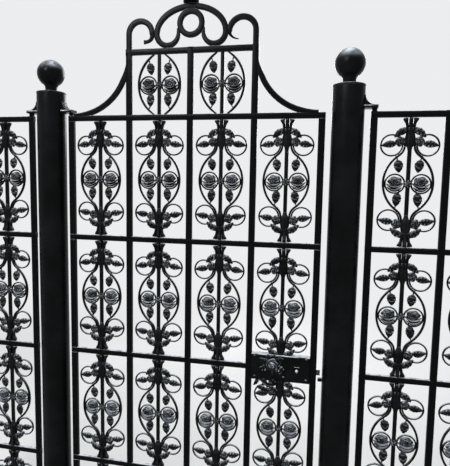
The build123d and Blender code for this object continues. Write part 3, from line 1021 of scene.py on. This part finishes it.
    def rose(self) -> list[Surface]:
        """Return the rose in the middle ring: bloom, hearts, the two open petals below it and its stalk."""
        x, z = self.middle_centre
        bloom = Rose((x - 0.5, z + 7.0), 21.5, 11.0, twist=2.8, squash=0.72).surface(17, 35)
        heart = Rose((x - 1.5, z + 9.0), 9.0, 5.5, petals=3, twist=1.8, squash=0.8).surface(8, 18)
        hearts = [heart.moved(y=way * 8.0) for way in (-1, 1)]
        smooth = {"ribs": 0.0, "lobes": 0.0, "fullness": 1.0, "taper": 0.5, "midrib": 0.3}
        petals = [
            Leaf((x - 25, z - 1), (x + 26, z), 4.4, 7.0, bend=-11.0, **smooth).surface(16, 10),
            Leaf((x - 23, z - 11), (x + 23.5, z - 10), 4.0, 6.0, bend=-10.5, **smooth).surface(16, 10),
        ]
        stalk = stem([(x - reach, 0, z) for reach in (16, 22, 29)], 4, 2.4, 3.0)
        return [bloom] + hearts + petals + [stalk]

    def bar(self, half_height: float) -> Surface:
        """Carry the bar that holds the panel from rail to rail."""
        path = np.outer([-half_height, 0.0, half_height], [0.0, 0.0, 1.0])
        section = bar_section(self.bar_width, self.thickness, 1.6, 2)
        return carried(path, section, wear_and_glint=self.edge_wear_and_glint, dome=0.0)

    def heart(self) -> list[Surface]:
        """Return the right half's pieces between the bows, which the full and the short panel share."""
        return [self.ring(self.middle_centre, self.middle_radius)] + self.rose() + self.bow_leaves()

    def knot(self) -> Surface:
        """Return the rosette that ties the middle rings to the bar."""
        return Rose((0.0, self.middle_centre[1]), 13.0, 8.5, petals=6, twist=0.5).surface(9, 24)

    def whole(self, right: list[Surface], middle: list[Surface], half_height: float) -> Surface:
        """Join the right half, its mirror image, what lies between them, the bar and its knot."""
        left = [part.mirrored(0) for part in right]
        return joined(right + left + middle + [self.bar(half_height), self.knot()])

    def full(self) -> Surface:
        """Build the full panel: the right half, its mirror image, the bar and its knot."""
        petal, *faces = self.tulip()
        end = [self.ring(self.ring_centre, self.ring_radius)] + self.leaves() + [petal]
        right = [self.bow()] + end + [part.mirrored(2) for part in end] + self.heart()
        middle = [self.collar()] + faces
        middle += [part.mirrored(2) for part in middle]
        return self.whole(right, middle, self.half_height)

    def short(self) -> Surface:
        """Build the crown's panel: only the bowed middle, whose bows run from rail to rail.

        Formula: a bow of half height h and inset d has the radius (h^2 + d^2) / 2d.
        """
        inset = self.bow_reach - self.crown_bow_end
        radius = (self.crown_half_height**2 + inset**2) / (2 * inset)
        turn = np.degrees(np.arcsin(self.crown_half_height / radius))
        path = arc((self.bow_reach - radius, 0.0), (radius,) * 2, -turn, turn, 32)
        along = np.linspace(-1, 1, len(path))
        bow = self.scroll(path, self.bow_width / 2 * (1.15 - 0.45 * np.abs(along) ** 8), 4.4)
        return self.whole([bow] + self.heart(), [], self.crown_half_height)


@dataclass
class Castings:
    """All the cast panels, made once and repeated in every bay."""

    layout: Layout
    panel: ScrollPanel = field(default_factory=ScrollPanel)
    askew: float = 0.004

    def columns(self, cast: Surface, stiles: Iterable[float], heights: Sequence[float]) -> Surface:
        """Repeat a casting up each bay, each copy set a little askew as a founder's loose fits are.

        Formula: copy k in the bay right of the stile at x leans by askew sin(x + half a bay + k).

        Args:
            cast: the casting, about its own centre.
            stiles: the X of the stile on each bay's left.
            heights: the Z of each copy's centre.

        Returns:
            All the copies in one surface.
        """
        half = self.layout.bay_pitch / 2
        return joined(
            cast.tilted(self.askew * np.sin(x + half + k)).moved(x + half, 0.0, z)
            for x in stiles
            for k, z in enumerate(heights)
        )

    def build(self, shop: Workshop) -> None:
        """Fit the panels of the four leaf bays, the crown and both fences."""
        full, rows, stiles = self.panel.full(), self.layout.row_middles(), self.layout.stile_x
        middle = (self.layout.rail_z[-1] + self.layout.crown_z) / 2
        runs = [(f"bay_{bay + 1}", Body.LEAF, full, [x], rows) for bay, x in enumerate(stiles[:-1])]
        runs.append(("crown", Body.LEAF, self.panel.short(), stiles[1:-2], [middle]))
        for side, fence in zip(("left", "right"), self.layout.fence_x):
            runs.append((f"{side}_fence", Body.ROOT, full, fence[:-1], rows))
        for name, body, cast, lefts, heights in runs:
            panels = self.columns(cast, lefts, heights)
            shop.form(f"{name}_scroll_panels", panels, body, Slot.CASTING, [f"{name}_castings"])


@dataclass
class BarFrame:
    """The straight bars of leaf and fences, with rounded arrises and the slight wave of hand painting."""

    layout: Layout
    depth: float = 12.0
    arris: float = 2.2
    wave: float = 0.12
    wave_length: float = 37.0
    deep_wave_length: float = 53.0
    step: float = 30.0
    peg: Place = (16.0, 8.6)

    def bar(self, start: Place, end: Place, width: float, phase: float) -> Surface:
        """Carry a bar from start to end.

        Formula: width and depth are held to the bar's size less wave (1 - sin(s / length + phase)), s
        being the run, so no face stands proud of the bar's true size.

        Args:
            start: X and Z of one end.
            end: X and Z of the other.
            width: the bar's size across.
            phase: where its wave starts.

        Returns:
            The bar.
        """
        run = float(np.hypot(end[0] - start[0], end[1] - start[1]))
        t = np.linspace(0, 1, max(int(run / self.step), 2) + 1)
        x, z = (low + (high - low) * t for low, high in zip(start, end))
        path = np.stack([x, np.zeros_like(t), z], axis=-1)
        ease = 1 - self.wave / width * (1 - np.sin(run * t / self.wave_length + phase)) * 2
        deep = 1 - self.wave / self.depth * (1 - np.sin(run * t / self.deep_wave_length + 2 * phase))
        # worn arrises that also carry a painted glint line along each bar
        return carried(path, bar_section(width, self.depth, self.arris), ease, deep, dome=0.0, wear_and_glint=0.5)

    def stile(self, x: float, bottom: float, top: float) -> Surface:
        """Return an upright bar."""
        return self.bar((x, bottom), (x, top), self.layout.stile_width, x)

    def rail(self, z: float, left: float, right: float) -> Surface:
        """Return a level bar that runs from one stile's far side to another's."""
        reach = self.layout.stile_width / 2
        return self.bar((left - reach, z), (right + reach, z), self.layout.rail_height, z)

    def fence(self, stiles: Sequence[float], bottom: float, top: float) -> Surface:
        """Return one fence's bars, with the pegs by which its brackets hold it."""
        bars = [self.stile(x, bottom, top) for x in stiles]
        bars += [self.rail(z, stiles[0], stiles[-1]) for z in self.layout.rail_z]
        width, length = self.peg
        for x in (stiles[0], stiles[-1]):
            bars += [self.bar((x, z), (x, z + length), width, 0.0) for z in (bottom - length, top)]
        return joined(bars)

    def build(self, shop: Workshop) -> None:
        """Fit the leaf's stiles and rails and both fence frames."""
        layout, half = self.layout, self.layout.rail_height / 2
        first, *inner, last = layout.stile_x
        bottom, top = layout.rail_z[0] - half, layout.rail_z[-1] + half
        bars = {
            name: self.stile(x, bottom, layout.crown_z + half)
            for name, x in zip(("left_inner_stile", "centre_stile", "right_inner_stile"), inner)
        }
        names = ("bottom_rail", "lower_rail", "lock_rail", "upper_rail", "top_rail")
        for name, z in zip(names, layout.rail_z):
            bars[name] = self.rail(z, first, inner[-1] if name == "lock_rail" else last)
        bars["crown_rail"] = self.rail(layout.crown_z, inner[0], inner[-1])
        for name, surface in bars.items():
            shop.form(f"{name}_bar", surface, Body.LEAF, Slot.BAR, [name])
        for name in ("hinge_stile", "lock_stile"):
            shop.ease(f"{name}_bar", name, self.arris, Body.LEAF, Slot.BAR)
        for side, stiles in zip(("left", "right"), layout.fence_x):
            fence = self.fence(stiles, bottom, top)
            shop.form(f"{side}_fence_bars", fence, Body.ROOT, Slot.BAR, [f"{side}_fence_frame"])


@dataclass
class Posts:
    """The round posts, their ball finials and the brackets that carry leaf and fences."""

    layout: Layout
    radius: float = 50.8
    height: float = 1848.0
    cap_radius: float = 51.4
    cap_height: float = 5.0
    neck_radius: float = 20.5
    neck_height: float = 12.0
    ball_radius: float = 47.6
    ball_rise: float = 65.7
    ball_sky_reflection: float = 0.85
    shelf_z: tuple[float, float] = (1786.2, 39.0)
    shelf_reach: Place = (47.0, 88.5)
    shelf_y: float = 17.8
    film: float = 0.25
    film_wave: float = 0.22

    def ball(self, middle: float, radius: float, start: float, end: float) -> Array:
        """Return the levels of a ball between two latitudes.

        Formula: at latitude a the level is z = middle + radius sin a, and its radius is radius cos a.
        """
        angle = np.radians(np.linspace(start, end, 22))
        return np.stack([middle + radius * np.sin(angle), radius * np.cos(angle)], axis=-1)

    def finial(self) -> Surface:
        """Turn the cap plate, the neck that hollows out into the ball, and the ball, about the Z axis."""
        top = self.height + self.cap_height
        cap = [(self.height, 30.0, 0), (self.height, self.cap_radius, 0.8), (top, self.cap_radius, 3.6)]
        neck = [(top, self.neck_radius, 1.5), (top + self.neck_height, self.neck_radius, 0)]
        hollow = np.array([[top + 19.0, 21.4], [top + 24.5, 24.0], [top + 28.5, 28.2]])
        ball = self.ball(top + self.ball_rise, self.ball_radius, -50, 88)
        # painted sky reflection on what faces up: the ball's upper part and the cap's rim
        return turned(np.vstack([rounded_levels(cap + neck), hollow, ball]), 48, sky_reflection=self.ball_sky_reflection)

    def highlight_beads(self) -> Surface:
        """Carry a bead with a painted highlight along the upper edges of every bracket's shelf, on both faces."""
        left_end, hinge, lock, right_end = self.layout.post_x
        beads: list[Surface] = []
        for x, side in ((left_end, 1), (hinge, -1), (hinge, 1), (lock, 1), (right_end, -1)):
            for z in self.shelf_z:
                near, far = ((x + side * reach, -self.shelf_y, z) for reach in self.shelf_reach)
                bead = carried(np.linspace(near, far, 6), oval_section(10), 2.2, 1.6, wear_and_glint=PAINTED_HIGHLIGHT)
                beads += [bead, bead.mirrored(1)]
        return joined(beads)

    def tube(self, x: float) -> Surface:
        """Turn a post under its thin, wavy film of paint, with its rims eased."""
        z = np.linspace(3, self.height - 3, 40)
        foot = [[0.0, self.radius - 1.5], [1.0, self.radius - 0.6]]
        rim = [[self.height - 1, self.radius - 0.5], [self.height, self.radius - 1.5]]
        levels = np.vstack([foot, np.stack([z, np.full(len(z), self.radius - self.film)], axis=-1), rim])
        return turned(levels, 64, (x, 0.0), wave=self.film_wave)

    def build(self, shop: Workshop) -> None:
        """Fit four posts, their finials and all the brackets."""
        names = ("left_end_post", "hinge_post", "lock_post", "right_end_post")
        for name, x in zip(names, self.layout.post_x):
            shop.form(f"{name}_tube", self.tube(x), Body.ROOT, Slot.POST, [name])
        balls = joined(self.finial().moved(x) for x in self.layout.post_x)
        shop.form("post_ball_finials", balls, Body.ROOT, Slot.POST, ["post_finials"])
        shop.form("bracket_highlight_beads", self.highlight_beads(), Body.ROOT, Slot.POST)
        for name in ("pivot_brackets", "left_fence_brackets", "right_fence_brackets"):
            shop.ease(f"{name}_forged", name, 1.8, Body.ROOT, Slot.POST)


@dataclass
class CrownScrolls:
    """Swan necks, hooks, arch, ring and finial over the leaf's top rail.

    The hooks, the arch and the ring are drawn about the crown's middle, with Z from foot_z.
    """

    layout: Layout
    middle_x: float = 520.0
    foot_z: float = 1990.0
    width: float = 19.5
    depth: float = 12.0
    neck_radii: Place = (200.5, 188.8)
    neck_centre: Place = (91.7, 1958.55)
    half_span: float = 220.0

    def forged(self, path: Array, half_width: Array | float, half_depth: Array | float, **ends: float) -> Surface:
        """Carry a scroll bar's squarish section along a path, its arrises a little rubbed, with a faint painted
        glint.
        """
        return carried(path, oval_section(16, 0.42), half_width, half_depth, wear_and_glint=0.3, **ends)

    def swan_necks(self) -> Surface:
        """Carry one neck down its quarter oval and mirror it, each end eased into what it meets.

        Formula: the path is a quarter of an oval from the inner stile down to the top rail.
        """
        path = arc(self.neck_centre, self.neck_radii, 0, -90, 44)
        at = np.linspace(0, 1, len(path))
        path = path + np.outer(np.interp(at, [0, 0.25], [3.5, 0.0]), [1.0, 0.0, 0.0])
        half = np.interp(at, [0, 0.25, 0.85, 1], [3.0, 9.75, 9.75, 8.0])
        left = self.forged(path, half, self.depth / 2, dome=0.0)
        return joined([left, left.moved(-self.middle_x).mirrored(0).moved(self.middle_x)])

    def hook(self, tail: Tail) -> Surface:
        """Carry a hook up from the stile, over and round into its tail.

        Formula: a straight run, half a circle, and a smooth line through the tail's places, which are
        taken from the half circle's end. The half width thins along the tail, and a fishtail flares
        again at its end.

        Args:
            tail: how the tail ends.

        Returns:
            The hook on the gate's right side, about the crown's middle.
        """
        pointed = tail is Tail.POINTED
        rise, radius = (45.0, 44.0) if pointed else (50.5, 41.5)
        middle = self.half_span - radius
        straight = smooth_path([(self.half_span, 0, z) for z in (-2, rise / 2, rise)], 6)
        if pointed:
            loose = [(1, -7), (6, -15), (16, -22), (31, -26)]
            widths = [0, 0.6, 0.72, 0.84, 1], [9.75, 9.9, 8.6, 4.4, 1.3]
            depths = [0, 0.7, 1], [6, 5.6, 2.5]
        else:
            loose = [(-1, -7), (1, -16), (7, -23), (16, -27), (29, -28)]
            widths = [0, 0.6, 0.74, 0.88, 0.95, 1], [9.75, 9.9, 8.4, 5.6, 5.8, 7.4]
            depths = [0, 0.7, 0.9, 1], [6, 6, 4.5, 3.0]
        places = [(middle - radius + x, 0, rise + z) for x, z in [(0, 4), (0, 0)] + loose]
        path = strung(straight, arc((middle, rise), (radius,) * 2, 0, 180, 26), smooth_path(places, 16)[3:])
        at = np.linspace(0, 1, len(path))
        return self.forged(path, np.interp(at, *widths), np.interp(at, *depths), dome=0.15)

    def arch(self) -> Surface:
        """Carry the arch from one foot's tip to the other's, thinning along both feet.

        Formula: half an oval, with an arc at each end that curls inwards and up beside the ring.
        """
        spring, half_width, foot = 46.0, 119.3, 38.0
        over = arc((0.0, spring), (half_width, 86.0), 0, 180, 48)
        right = arc((half_width - foot, spring), (foot, foot), -205, 0, 26)
        path = strung(right, over, right[::-1] * np.array([-1, 1, 1]))
        at = np.abs(np.linspace(-1, 1, len(path)))
        half = np.interp(at, [0, 0.55, 0.75, 0.9, 0.96, 1], [9.75, 9.75, 9.4, 7.4, 5.6, 2.0])
        return self.forged(path, half, np.interp(at, [0, 0.8, 1], [6, 6, 3.5]), dome=0.1)

    def ring(self) -> Surface:
        """Carry the ring under the arch's crown once round."""
        path = arc((0.0, 78.0), (38.0, 38.0), 0, 360, 44)[:-1]
        return self.forged(path, self.width / 2, self.depth / 2, ring=True)

    def finial(self) -> Surface:
        """Turn the ball finial that stands on the arch."""
        foot, radius, neck = self.foot_z + 141.75, 33.0, 13.0
        profile = [(0, 10.0, 0), (0, 26.5, 2.0), (13, 26.5, 3.0), (18, 15.0, 3.0), (30, neck, 0)]
        stand = rounded_levels([(foot + rise, r, ease) for rise, r, ease in profile])[:-1]
        middle = foot + 30 + np.sqrt(radius**2 - neck**2)
        ball = Posts(self.layout).ball(middle, radius, -66.8, 80)
        return turned(np.vstack([stand, ball]), 40, (self.middle_x, 0.0))

    def build(self, shop: Workshop) -> None:
        """Fit all the crown's pieces."""
        lift = {"x": self.middle_x, "z": self.foot_z}
        hooks = [self.hook(Tail.POINTED), self.hook(Tail.FISHTAIL).mirrored(0)]
        pieces = {
            "swan_necks": self.swan_necks(),
            "crown_hooks": joined(hooks).moved(**lift),
            "crown_arch": self.arch().moved(**lift),
            "crown_ring": self.ring().moved(**lift),
            "crown_finial": self.finial(),
        }
        for node, surface in pieces.items():
            shop.form(f"{node}_forged", surface, Body.LEAF, Slot.BAR, [node])


@dataclass
class LockSet:
    """The lock case with its leaf spray, the rose knob, the latch bolt and its stop."""

    knob: Place = (823.0, 929.0)
    key: Place = (906.0, 911.0)
    face_y: float = -11.0
    knob_y: float = -22.5
    case_ends: Place = (752.0, 948.0)
    case_top: float = 958.2

    def knob_surface(self) -> Surface:
        """Build the rose on both ends of its spindle.

        Formula: a bloom with a smaller rose on its face stands at knob_y, its mirror image on the garden
        side, and rings of one radius round the Y axis join them.
        """
        x, z = self.knob
        # painted highlight: the heart's crests glint bright, the bloom's less
        bloom = Rose((0.0, 0.0), 21.0, 8.0, twist=2.6).surface(19, 40).rub_and_glint(0.6)
        heart = Rose((0.0, 0.0), 11.0, 5.0, petals=3, twist=1.6).surface(13, 24).rub_and_glint(2.5)
        street = joined([bloom, heart.moved(y=-6.5)]).moved(x, self.knob_y, z)
        path = np.linspace((x, -18.0, z), (x, 18.0, z), 7)
        angle = np.arange(20) * 2 * np.pi / 20
        ring = np.stack([np.cos(angle), np.zeros(20), np.sin(angle)], axis=-1) * 6.0
        spindle = closed_grid(path[:, None, :] + ring, np.zeros((7, 20)), (path[0], path[-1]))
        return joined([street, street.mirrored(1), spindle])

    def spray(self) -> Surface:
        """Build the cast leaves that lie on the case's street face, and those that hang below it."""
        cast = {"bend": 3.0, "droop": 2.5, "ribs": 4.0, "lobes": 0.16}
        leaves: list[Surface] = []
        # the share scales each leaf's painted glints; the two leaves at 2.0 carry bright painted glints
        for turn, length, half, share in (
            (25, 44, 9, 0.4),
            (75, 34, 8, 0.4),
            (115, 36, 8, 0.4),
            (160, 46, 9, 0.4),
            (205, 50, 9, 2.0),
            (-35, 52, 10, 2.0),
            (-80, 44, 9, 0.4),
        ):
            way = np.array([np.cos(np.radians(turn)), np.sin(np.radians(turn))])
            base, tip = (tuple(np.array(self.knob) + reach * way) for reach in (15, length))
            leaf = Leaf(base, tip, half, 2.2, lift=self.face_y - 1.2, **cast)
            leaves.append(leaf.surface(16, 10).rub_and_glint(share))
        for base, tip, half in (
            ((776, 874), (810, 851), 7.5),
            ((808, 874), (842, 850), 7.5),
            ((772, 843), (812, 827), 8.0),
            ((814, 846), (845, 821), 8.0),
            ((775, 877), (760, 845), 6.5),
        ):
            leaves.append(Leaf(base, tip, half, 3.0, lift=-7.0, **cast).surface(16, 10))
        upper = [(827, -9.6, 905), (822, -9.6, 888), (810, -9, 873), (796, -7, 860)]
        path = smooth_path(upper + [(790, -6.5, 846), (803, -6, 838), (846, -4, 836)], 24)
        return joined(leaves + [carried(path, oval_section(8), np.linspace(3.0, 2.0, 25), 2.4)])

    def trim(self) -> Surface:
        """Build the case's turned screw heads and the bead along its upper edge, which carries a painted
        highlight line.
        """
        dome = [[0.0, 5.2], [0.9, 5.0], [1.9, 3.8], [2.5, 1.6]]
        places = ((762, 950), (762, 878), (862, 882), (938, 950), (938, 878))
        heads = [self.street_dome(place, self.face_y, dome) for place in places]
        near, far = ((x, self.face_y - 0.6, self.case_top) for x in self.case_ends)
        # the upper-edge bead is painted fully bright as a highlight line
        return joined(heads + [carried(np.linspace(near, far, 18), oval_section(10), 1.7, 1.5, wear_and_glint=PAINTED_HIGHLIGHT)])

    def street_dome(self, place: Place, y: float, dome: Sequence[Sequence[float]]) -> Surface:
        """Turn a low dome about the Y axis and set it on a face towards the street."""
        head = turned(np.array(dome), 20)
        points = head.points[:, [0, 2, 1]] * np.array([1, -1, 1]) + np.array([place[0], y, place[1]])
        return replace(head, points=points).facing_out()

    def key_cover(self) -> Surface:
        """Return the cover over the keyhole's upper end, with a painted glint all over."""
        dome = [[0.0, 5.4], [1.0, 5.2], [2.2, 4.0], [3.0, 1.8]]
        cover = self.street_dome(self.key, self.face_y - 2.4, dome)
        return replace(cover, wear_and_glint=np.full_like(cover.wear_and_glint, PAINTED_HIGHLIGHT))

    def build(self, shop: Workshop) -> None:
        """Fit the lock with its cover, ornament and knob, the latch bolt and the stop on the post."""
        shop.form("keyhole_cover", self.key_cover(), Body.LEAF, Slot.LOCK)
        shop.ease("lock_case_box", "lock_case", 1.2, Body.LEAF, Slot.LOCK)
        shop.form("lock_leaf_spray", self.spray(), Body.LEAF, Slot.CASTING)
        shop.form("lock_trim", self.trim(), Body.LEAF, Slot.LOCK)
        shop.form("rose_knob_petals", self.knob_surface(), Body.KNOB, Slot.LOCK, ["rose_knob"])
        shop.ease("latch_bolt_bar", "latch_bolt", 0.8, Body.BOLT, Slot.BOLT)
        shop.ease("latch_stop_lug", "latch_stop", 1.0, Body.ROOT, Slot.LOCK)


# The studio


@dataclass
class Studio:
    """Pale floor, soft light and the camera at the photograph's viewing angle, in metres.

    Attributes:
        lens: the camera's focal length in millimetres, on a sensor 36 mm high.
        place: where the camera stands.
        right: the direction of the picture's right side.
        down: the direction of its lower side.
        forward: the direction that the camera looks in.
        pale: the backdrop's colour.
        floor_reach: half the floor's width.
    """

    lens: float = 36.724
    place: Trio = (0.98227, -1.58301, 1.52731)
    right: Trio = (0.9779378, 0.20816082, 0.01751394)
    down: Trio = (0.03732187, -0.09161392, -0.99509495)
    forward: Trio = (-0.20553526, 0.97379462, -0.09736167)
    pale: Trio = (0.84, 0.85, 0.86)
    floor_reach: float = 14.0

    def stand(self, made: Item, place: Sequence[float], axes: Sequence[Sequence[float]]) -> None:
        """Put an object at a place, its own three axes along the given ones."""
        rows = [[*row, 0.0] for row in np.stack(axes, axis=-1).tolist()]
        made.matrix_world = Matrix.Translation(tuple(place)) @ Matrix(rows + [[0.0, 0.0, 0.0, 1.0]])

    def camera(self) -> None:
        """Place the camera that was fitted to the bays and rails of the photograph."""
        data = bpy.data.cameras.new("photo_camera")
        data.sensor_fit = "VERTICAL"
        data.sensor_height = 36.0
        data.lens = self.lens
        made = linked("photo_camera", data)
        self.stand(made, self.place, [self.right, -np.array(self.down), -np.array(self.forward)])
        bpy.context.scene.camera = made

    def floor(self) -> None:
        """Lay a pale floor with a little unevenness in its tone, which fades into the backdrop far off."""
        mesh = bpy.data.meshes.new("studio_floor")
        ways = ((-1, -1), (1, -1), (1, 1), (-1, 1))
        corners = [(x * self.floor_reach, y * self.floor_reach, 0) for x, y in ways]
        mesh.from_pydata(corners, [], [(0, 1, 2, 3)])
        finish, wires, shader = new_material("pale_floor")
        mottle = wires.step(wires.noise(3.0, 5.0), 0.3, 0.7)
        tone = wires.blend(mottle, (0.76, 0.76, 0.75, 1.0), (0.8, 0.8, 0.79, 1.0))
        wires.feed_all(shader, {"Base Color": tone, "Roughness": 0.9})
        place = wires.node("ShaderNodeTexCoord").outputs["Object"]
        far = wires.node("ShaderNodeVectorMath", {0: place}, operation="LENGTH").outputs["Value"]
        haze = wires.node("ShaderNodeEmission", {"Color": (*self.pale, 1.0), "Strength": 1.0}).outputs[0]
        inputs = {0: wires.step(far, 1.4, 5.0), 1: shader.outputs[0], 2: haze}
        choice = wires.node("ShaderNodeMixShader", inputs).outputs[0]
        wires.feed(finish.node_tree.nodes["Material Output"].inputs["Surface"], choice)
        mesh.materials.append(finish)
        linked("studio_floor", mesh)

    def lamp(self, name: str, place: Sequence[float], aim: Sequence[float], size: float, power: float) -> None:
        """Hang a square area lamp at a place, aimed at another."""
        data = bpy.data.lights.new(name, "AREA")
        data.size = size
        data.energy = power
        made = linked(name, data)
        away = unit(np.subtract(place, aim))
        side = unit(np.cross([0.0, 1.0, 0.2], away))
        self.stand(made, place, [side, np.cross(away, side), away])
        made.visible_camera = False

    def light(self) -> None:
        """Set the pale world and three lamps: one over the street, a broad one overhead, one behind."""
        world = bpy.data.worlds.new("studio_world")
        bpy.context.scene.world = world
        world.use_nodes = True
        wires = Wiring(world.node_tree)
        seen = wires.node("ShaderNodeLightPath").outputs
        shows = wires.math("MAXIMUM", seen["Is Camera Ray"], seen["Is Glossy Ray"])
        shows = wires.math("MAXIMUM", shows, seen["Is Transmission Ray"])
        soft = world.node_tree.nodes["Background"]
        wires.feed_all(soft, {"Color": (0.9, 0.95, 1.0, 1.0), "Strength": 0.4})
        backdrop = wires.node("ShaderNodeBackground", {"Color": (*self.pale, 1.0), "Strength": 1.0})
        choice = wires.node("ShaderNodeMixShader", {0: shows, 1: soft.outputs[0], 2: backdrop.outputs[0]})
        wires.feed(world.node_tree.nodes["World Output"].inputs[0], choice.outputs[0])
        self.lamp("street_lamp", (-0.8, -2.8, 3.4), (0.5, 0.0, 1.0), 0.9, 78.0)
        self.lamp("sky_lamp", (0.5, 0.4, 4.8), (0.5, 0.0, 1.4), 3.0, 65.0)
        self.lamp("garden_lamp", (0.9, 4.2, 2.9), (0.5, 0.0, 1.0), 1.8, 100.0)

    def build(self) -> None:
        """Set up the whole studio."""
        bpy.context.scene.view_settings.view_transform = "Standard"
        self.camera()
        self.floor()
        self.light()


def main() -> None:
    """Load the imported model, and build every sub-assembly in order."""
    logging.basicConfig(level=logging.INFO, format="%(message)s")
    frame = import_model()
    finishes = Finishes()
    finishes.mix()
    shop = Workshop(frame["nodes"], finishes)
    layout = Layout()
    for assembly in (Posts(layout), BarFrame(layout), CrownScrolls(layout), Castings(layout), LockSet()):
        assembly.build(shop)
    Studio().build()


if __name__ == "__main__":
    main()
